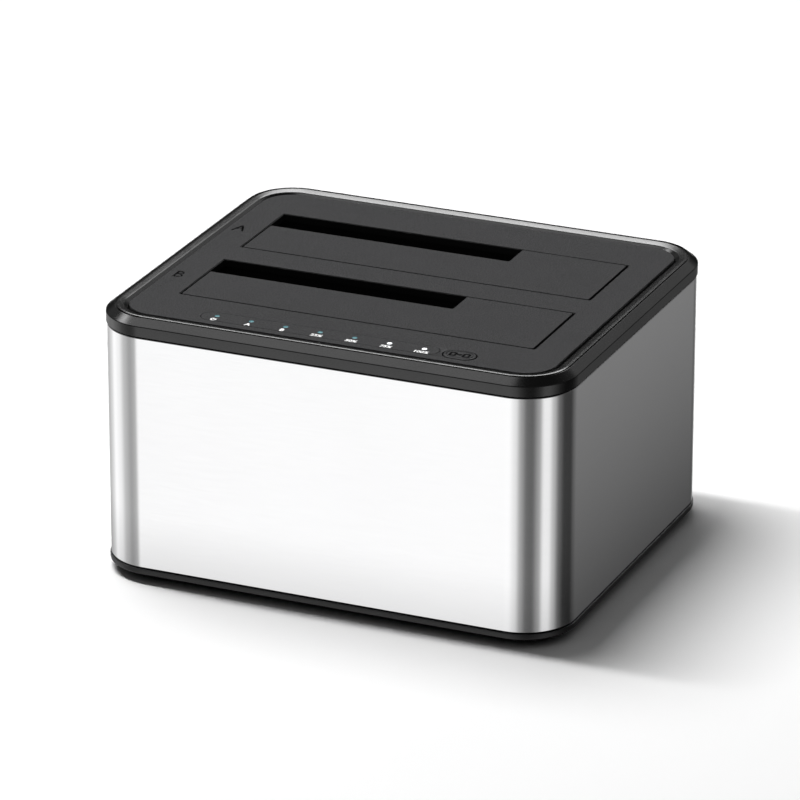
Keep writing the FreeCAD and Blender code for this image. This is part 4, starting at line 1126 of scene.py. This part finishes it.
def makeRocker():
    r = rocker
    half, end, middle = r["half"], r["endRise"], r["middleRise"]
    side, foot, drop = r["sideRise"], r["footHalf"], -r["footDrop"]
    corners = [
        (-half, side), (-foot, drop), (foot, drop), (half, side), (half, end), (0, middle), (-half, end),
    ]
    rounds = np.array(r["rounds"]) * mm
    outline = lambda inset: cornerLoop(corners, rounds, inset, 8)
    body = prism(outline, -r["height"] / 2, r["height"] / 2, r["edge"])
    axle, low, high = r["axle"], r["axleLow"], r["axleHigh"]
    axle = revolve([(0, low), (axle, low), (axle, high), (0, high)], 24)
    tilt = math.radians(-r["tilt"])
    rise = half * math.sin(tilt) + end * math.cos(tilt)
    place = (rockerHole["x"], sleeveHigh[1] - r["sink"] - rise, rockerHole["z"])

    def settled(shapes):
        return moved(turned(joinShapes(shapes), "z", r["tilt"]), place)

    addPiece("powerRocker", settled([body, axle]), "rockerBlack", None, "rocker", ["power_rocker"])

    # a stroke for on and a ring for off, one on each slope of the rocker's face
    slope = math.degrees(math.atan2(end - middle, half))
    height = middle + (end - middle) * r["markX"] / half
    size, line, levels = r["markSize"], r["markLine"], (-0.05 * mm, 0.02 * mm)
    on = bar([(0, -size), (0, size)], line, *levels)
    off = bar(circleLoop(0, 0, size, 32), line, *levels, closed=True)
    marks = []
    for shape, side in ((on, -1), (off, 1)):
        marks.append(moved(turned(facingBack(shape), "z", side * slope), (side * r["markX"], height, 0)))
    addPiece("rockerMarks", settled(marks), "printWhite", "rocker_black", "rocker", even=False)


makeJack()
makeUsb()
makeRocker()
print("sockets ready")


# Contacts and small parts inside.

sata = lengths(
    contact=0.7, pitch=1.27, rib=3.8, firstContact=1.8, powerRun=21.4, blade=1.2, sunk=0.3, proud=0.1,
    low=7.4, high=1.2,
)
powerCount, signalCount = 15, 7


def makeSataContacts(key):
    s = sata
    low, high = nodeBox("sata_connector_" + key)
    y = (low[1] + high[1]) / 2 + s["blade"]
    wide = s["contact"] / 2
    contact = brick((-wide, -s["sunk"], high[2] - s["low"]), (wide, s["proud"], high[2] - s["high"]))
    powerX = low[0] + s["rib"] + s["firstContact"]
    signalX = low[0] + 2 * s["rib"] + s["powerRun"] + s["firstContact"]
    places = []
    for start, count in ((powerX, powerCount), (signalX, signalCount)):
        places += [(start + i * s["pitch"], y, 0) for i in range(count)]
    addPiece("sataContacts_" + key, repeated(contact, places), "contactGold", "connector_black", even=False)


leg = lengths(root=0.1, foot=0.9, knee=0.35, thick=0.14, rise=0.7)
smallPart = lengths(halfX=0.8, halfY=0.4, height=0.5, endX=0.68, endHalfX=0.16, endHalfY=0.42, endHeight=0.53)


def chipLegs(node, perSide, pitch, sides):
    # flat leads at even steps along the given sides of a chip, on the board
    low, high = nodeBox(node)
    middle, half = (low + high) / 2, (high - low) / 2
    wide, thick = pitch * 0.2, leg["thick"]
    legs = []
    for side in sides:
        edge = half[side % 2]
        start = edge - leg["root"]
        lead = brick((start, -wide, 0), (edge + leg["foot"], wide, thick))
        knee = brick((start, -wide, thick), (edge + leg["knee"], wide, leg["rise"]))
        line = [(0, (i - (perSide - 1) / 2) * pitch, 0) for i in range(perSide)]
        legs.append(turned(repeated(joinShapes([lead, knee]), line), "z", 90 * side))
    return moved(joinShapes(legs), (middle[0], middle[1], boardTop))


def makeBoardParts():
    legs = [chipLegs("bridge_chip", 16, 0.65 * mm, range(4)), chipLegs("flash_chip", 4, 1.27 * mm, (0, 2))]
    addPiece("chipLegs", joinShapes(legs), "canMetal", even=False)
    grid = [(x, y) for x in (-10, -7.5, -5) for y in (-14, -11, -8, 9, 12)]
    grid += [(x, y) for x in (12, 15, 18, 21) for y in (6, 9)]
    places = [(x * mm, y * mm, boardTop) for x, y in grid]
    s = smallPart
    body = brick((-s["halfX"], -s["halfY"], 0), (s["halfX"], s["halfY"], s["height"]))
    addPiece("smallParts", repeated(body, places), "chipBlack", even=False)
    end = brick((-s["endHalfX"], -s["endHalfY"], 0), (s["endHalfX"], s["endHalfY"], s["endHeight"]))
    ends = repeated(end, [(-s["endX"], 0, 0), (s["endX"], 0, 0)])
    addPiece("smallPartEnds", repeated(ends, places), "canMetal", even=False)


for key in bayFronts:
    makeSataContacts(key)
makeBoardParts()
print("inner parts ready")


# Studio.

studioCamera = {
    "azimuth": 23.48, "elevation": 21.852, "aim": (-0.003009, -0.001206, 0.042550), "distance": 1.60135,
    "lens": 263.03, "sensor": 36.0, "shiftX": 0.00864, "shiftY": -0.00643,
}
# place, aim, width, depth and power of each lamp
lamps = {
    "key": ((-0.55, -0.02, 1.4), (-0.55, -0.02, 0), 0.98, 0.08, 17.0),
    "soft": ((-0.55, 0.31, 1.4), (-0.55, 0.31, 0), 0.98, 0.58, 10.5),
    "rear": ((-0.2, 1.2, 0.9), (0, 0, 0), 0.9, 0.9, 1.0),
}


def aimed(name, data, place, back):
    # camera or lamp that looks away from the back direction
    obj = newObject(name, data)
    obj.location = place
    obj.rotation_euler = back.to_track_quat("Z", "Y").to_euler()
    return obj


def makeCamera():
    c = studioCamera
    data = bpy.data.cameras.new("camera")
    data.lens, data.sensor_width = c["lens"], c["sensor"]
    data.shift_x, data.shift_y = c["shiftX"], c["shiftY"]
    data.clip_start, data.clip_end = 0.01, 100
    a, e = math.radians(c["azimuth"]), math.radians(c["elevation"])
    back = Vector((math.sin(a) * math.cos(e), -math.cos(a) * math.cos(e), math.sin(e)))
    bpy.context.scene.camera = aimed("camera", data, Vector(c["aim"]) + back * c["distance"], back)


def makeLamps():
    for name, (place, aim, width, depth, power) in lamps.items():
        data = bpy.data.lights.new(name, "AREA")
        data.shape = "RECTANGLE"
        data.size, data.size_y, data.energy = width, depth, power
        aimed(name, data, place, Vector(place) - Vector(aim)).visible_glossy = False


# what the metal mirrors, by compass angle from the front: (degrees, level)
studioRing = [
    (-180, 0.30), (-165, 0.52), (-148, 0.62), (-130, 0.46), (-112, 0.66), (-96, 1.0), (-80, 0.88),
    (-62, 0.48), (-48, 0.33), (-36, 0.42), (-29, 0.98), (-12, 1.0), (2, 0.78), (14, 0.33), (26, 0.13),
    (37, 0.11), (52, 0.32), (62, 0.84), (73, 0.84), (84, 0.46), (98, 0.12), (112, 0.04), (132, 0.038),
    (146, 0.125), (158, 0.205), (170, 0.205), (178, 0.24),
]
ringGain = 1.36

# soft lights above the ring: turn from the front, reach to a side and softness, in degrees; middle, half size
# and softness in height, each as the sine of the angle of rise; level
softBoxes = [
    (-165, 22, 10, 0.67, 0.02, 0.18, 10.5),
    (-66, 20, 14, 0.90, 0.08, 0.05, 1.7),
    (-92, 10, 12, 0.70, 0.03, 0.1, 7.0),
    (161, 10, 20, 0.43, 0.06, 0.06, 0.35),
]

# levels by height: (first height, last height, level at the first, level at the last)
dome = (0.3, 0.8, 0.0, 0.18)
room = (0.45, 0.85, 0.2, 0.02)
roomFoot = (0.12, 0.32, 0.1, 1.0)
overRing = (-0.30, -0.10, 0.0, 1.0)


def softBox(tree, turn, height, toward, reach, soft, middle, half, fade, level):
    # full over its reach and half size, then fading: evenly to the sides, with the square above and below
    side = mathNode(tree, "COSINE", mathNode(tree, "SUBTRACT", turn, math.radians(toward)))
    near, far = (math.cos(math.radians(angle)) for angle in (reach, reach + soft))
    side = rangeNode(tree, side, far, near, 0.0, level)
    off = mathNode(tree, "ABSOLUTE", mathNode(tree, "SUBTRACT", height, middle))
    rise = mathNode(tree, "POWER", rangeNode(tree, off, half, half + fade, 1.0, 0.0), 2.0)
    return mathNode(tree, "MULTIPLY", side, rise)


def studioLevel(tree):
    # the ring at the horizon, giving way above it to a dim room with soft lights
    x, y, height = addNode(tree, "SeparateXYZ", [(0, placeNode(tree, "Generated"))]).outputs
    turn = mathNode(tree, "ARCTAN2", x, mathNode(tree, "MULTIPLY", y, -1.0))
    share = mathNode(tree, "ADD", mathNode(tree, "DIVIDE", turn, 2 * math.pi), 0.5)
    ring = addNode(tree, "ValToRGB", {"Fac": share})
    ring.color_ramp.interpolation = "EASE"
    stops = ring.color_ramp.elements
    stops.remove(stops[-1])
    for i, (degrees, level) in enumerate(studioRing):
        stop = stops.new(degrees / 360 + 0.5) if i else stops[0]
        stop.position = degrees / 360 + 0.5
        stop.color = (level, level, level, 1)
    low = mathNode(tree, "MULTIPLY", ring.outputs["Color"], ringGain)
    high = mathNode(tree, "MULTIPLY", rangeNode(tree, height, *room), rangeNode(tree, height, *roomFoot))
    for box in softBoxes:
        high = mathNode(tree, "ADD", softBox(tree, turn, height, *box), high)
    above = rangeNode(tree, height, *overRing)
    low = mathNode(tree, "MULTIPLY", low, mathNode(tree, "SUBTRACT", 1.0, above))
    return mathNode(tree, "ADD", low, mathNode(tree, "MULTIPLY", high, above)), height


def makeWorld():
    world = bpy.data.worlds.new("studio")
    bpy.context.scene.world = world
    world.use_nodes = True
    tree = world.node_tree
    level, height = studioLevel(tree)
    white = {"Color": (1, 1, 1, 1)}
    glossy = addNode(tree, "Background", {"Strength": level}).outputs[0]
    plain = addNode(tree, "Background", {**white, "Strength": rangeNode(tree, height, *dome)}).outputs[0]
    seen = addNode(tree, "Background", white).outputs[0]
    path = addNode(tree, "LightPath").outputs
    clear = mathNode(tree, "MAXIMUM", path["Is Camera Ray"], path["Is Transmission Ray"])
    whole = mixShaders(tree, clear, mixShaders(tree, path["Is Glossy Ray"], plain, glossy), seen)
    tree.links.new(whole, tree.nodes["World Output"].inputs["Surface"])


def stagePlane(name, half, height, surface):
    # square sheet whose material shows what its surface function gives
    tree, shader = newMaterial(name, (1.0, 1.0, 1.0), specular=0.0, Roughness=0.9)
    tree.links.new(surface(tree, shader), tree.nodes["Material Output"].inputs["Surface"])
    mesh = bpy.data.meshes.new(name)
    corners = [(-half, -half, height), (half, -half, height), (half, half, height), (-half, half, height)]
    mesh.from_pydata(corners, [], [(0, 1, 2, 3)])
    mesh.materials.append(materials[name])
    obj = newObject(name, mesh)
    return obj


floor = {"half": 3.0, "colour": 0.94, "whiteFrom": 0.22, "whiteTo": 0.6}


def floorSurface(tree, shader):
    # away from the object the floor fades into the white of the room
    shader.inputs["Base Color"].default_value = (floor["colour"],) * 3 + (1,)
    away = addNode(tree, "VectorMath", [(0, placeNode(tree))], operation="LENGTH").outputs["Value"]
    far = rangeNode(tree, away, floor["whiteFrom"], floor["whiteTo"], 0.0, 1.0)
    seen = mathNode(tree, "MULTIPLY", far, addNode(tree, "LightPath").outputs["Is Camera Ray"])
    return mixShaders(tree, seen, shader.outputs[0], addNode(tree, "Emission").outputs[0])


def makeFloor():
    obj = stagePlane("floor", floor["half"], 0, floorSurface)
    obj.visible_glossy = obj.visible_diffuse = False


# sizes and depths of the painted shadow that only the metal's reflections see
shadowCard = {
    "half": 0.4, "height": 0.02 * mm, "reach": 0.1, "depth": 0.7, "soft": 0.02, "edge": 0.045,
    "edgeDepth": 0.27,
}


def shadowCardSurface(tree, shader):
    # painted shadow: black under the case, shaded beside it, and more so to the right; clear everywhere else
    c = shadowCard
    tree.nodes.remove(shader)
    x, y, _ = addNode(tree, "SeparateXYZ", [(0, placeNode(tree))]).outputs
    right, back = (float(size) for size in sleeveHigh[:2])
    corner = sleeve["corner"]
    outs = []
    for place, half in ((x, right), (y, back)):
        out = mathNode(tree, "SUBTRACT", mathNode(tree, "ABSOLUTE", place), half - corner)
        outs.append(mathNode(tree, "POWER", mathNode(tree, "MAXIMUM", out, 0.0), 2.0))
    away = mathNode(tree, "SUBTRACT", mathNode(tree, "SQRT", mathNode(tree, "ADD", *outs)), corner)
    under = rangeNode(tree, away, 0.0, 0.5 * mm, 1.0, 0.0)
    edge = rangeNode(tree, away, 0.0, c["edge"], c["edgeDepth"], 0.0)
    side = mathNode(tree, "POWER", rangeNode(tree, x, right, right + c["reach"], 1.0, 0.0), 2.0)
    side = mathNode(tree, "MULTIPLY", side, c["depth"])
    side = mathNode(tree, "MULTIPLY", side, mathNode(tree, "GREATER_THAN", x, right))
    side = mathNode(tree, "MULTIPLY", side, rangeNode(tree, y, -back, c["soft"] - back, 0.0, 1.0))
    shade = mathNode(tree, "MAXIMUM", under, mathNode(tree, "MAXIMUM", edge, side))
    clear = addNode(tree, "BsdfTransparent").outputs[0]
    return mixShaders(tree, shade, clear, addNode(tree, "BsdfDiffuse", {"Color": (0, 0, 0, 1)}).outputs[0])


def makePaintedShadowCard():
    # the floor as the metal mirrors it, with the case's shadow painted in
    obj = stagePlane("floorCard", shadowCard["half"], shadowCard["height"], shadowCardSurface)
    obj.visible_camera = obj.visible_diffuse = obj.visible_shadow = obj.visible_transmission = False


makeCamera()
makeWorld()
makeFloor()
makePaintedShadowCard()
makeLamps()
bpy.context.scene.view_settings.view_transform = "Standard"
print("studio ready")
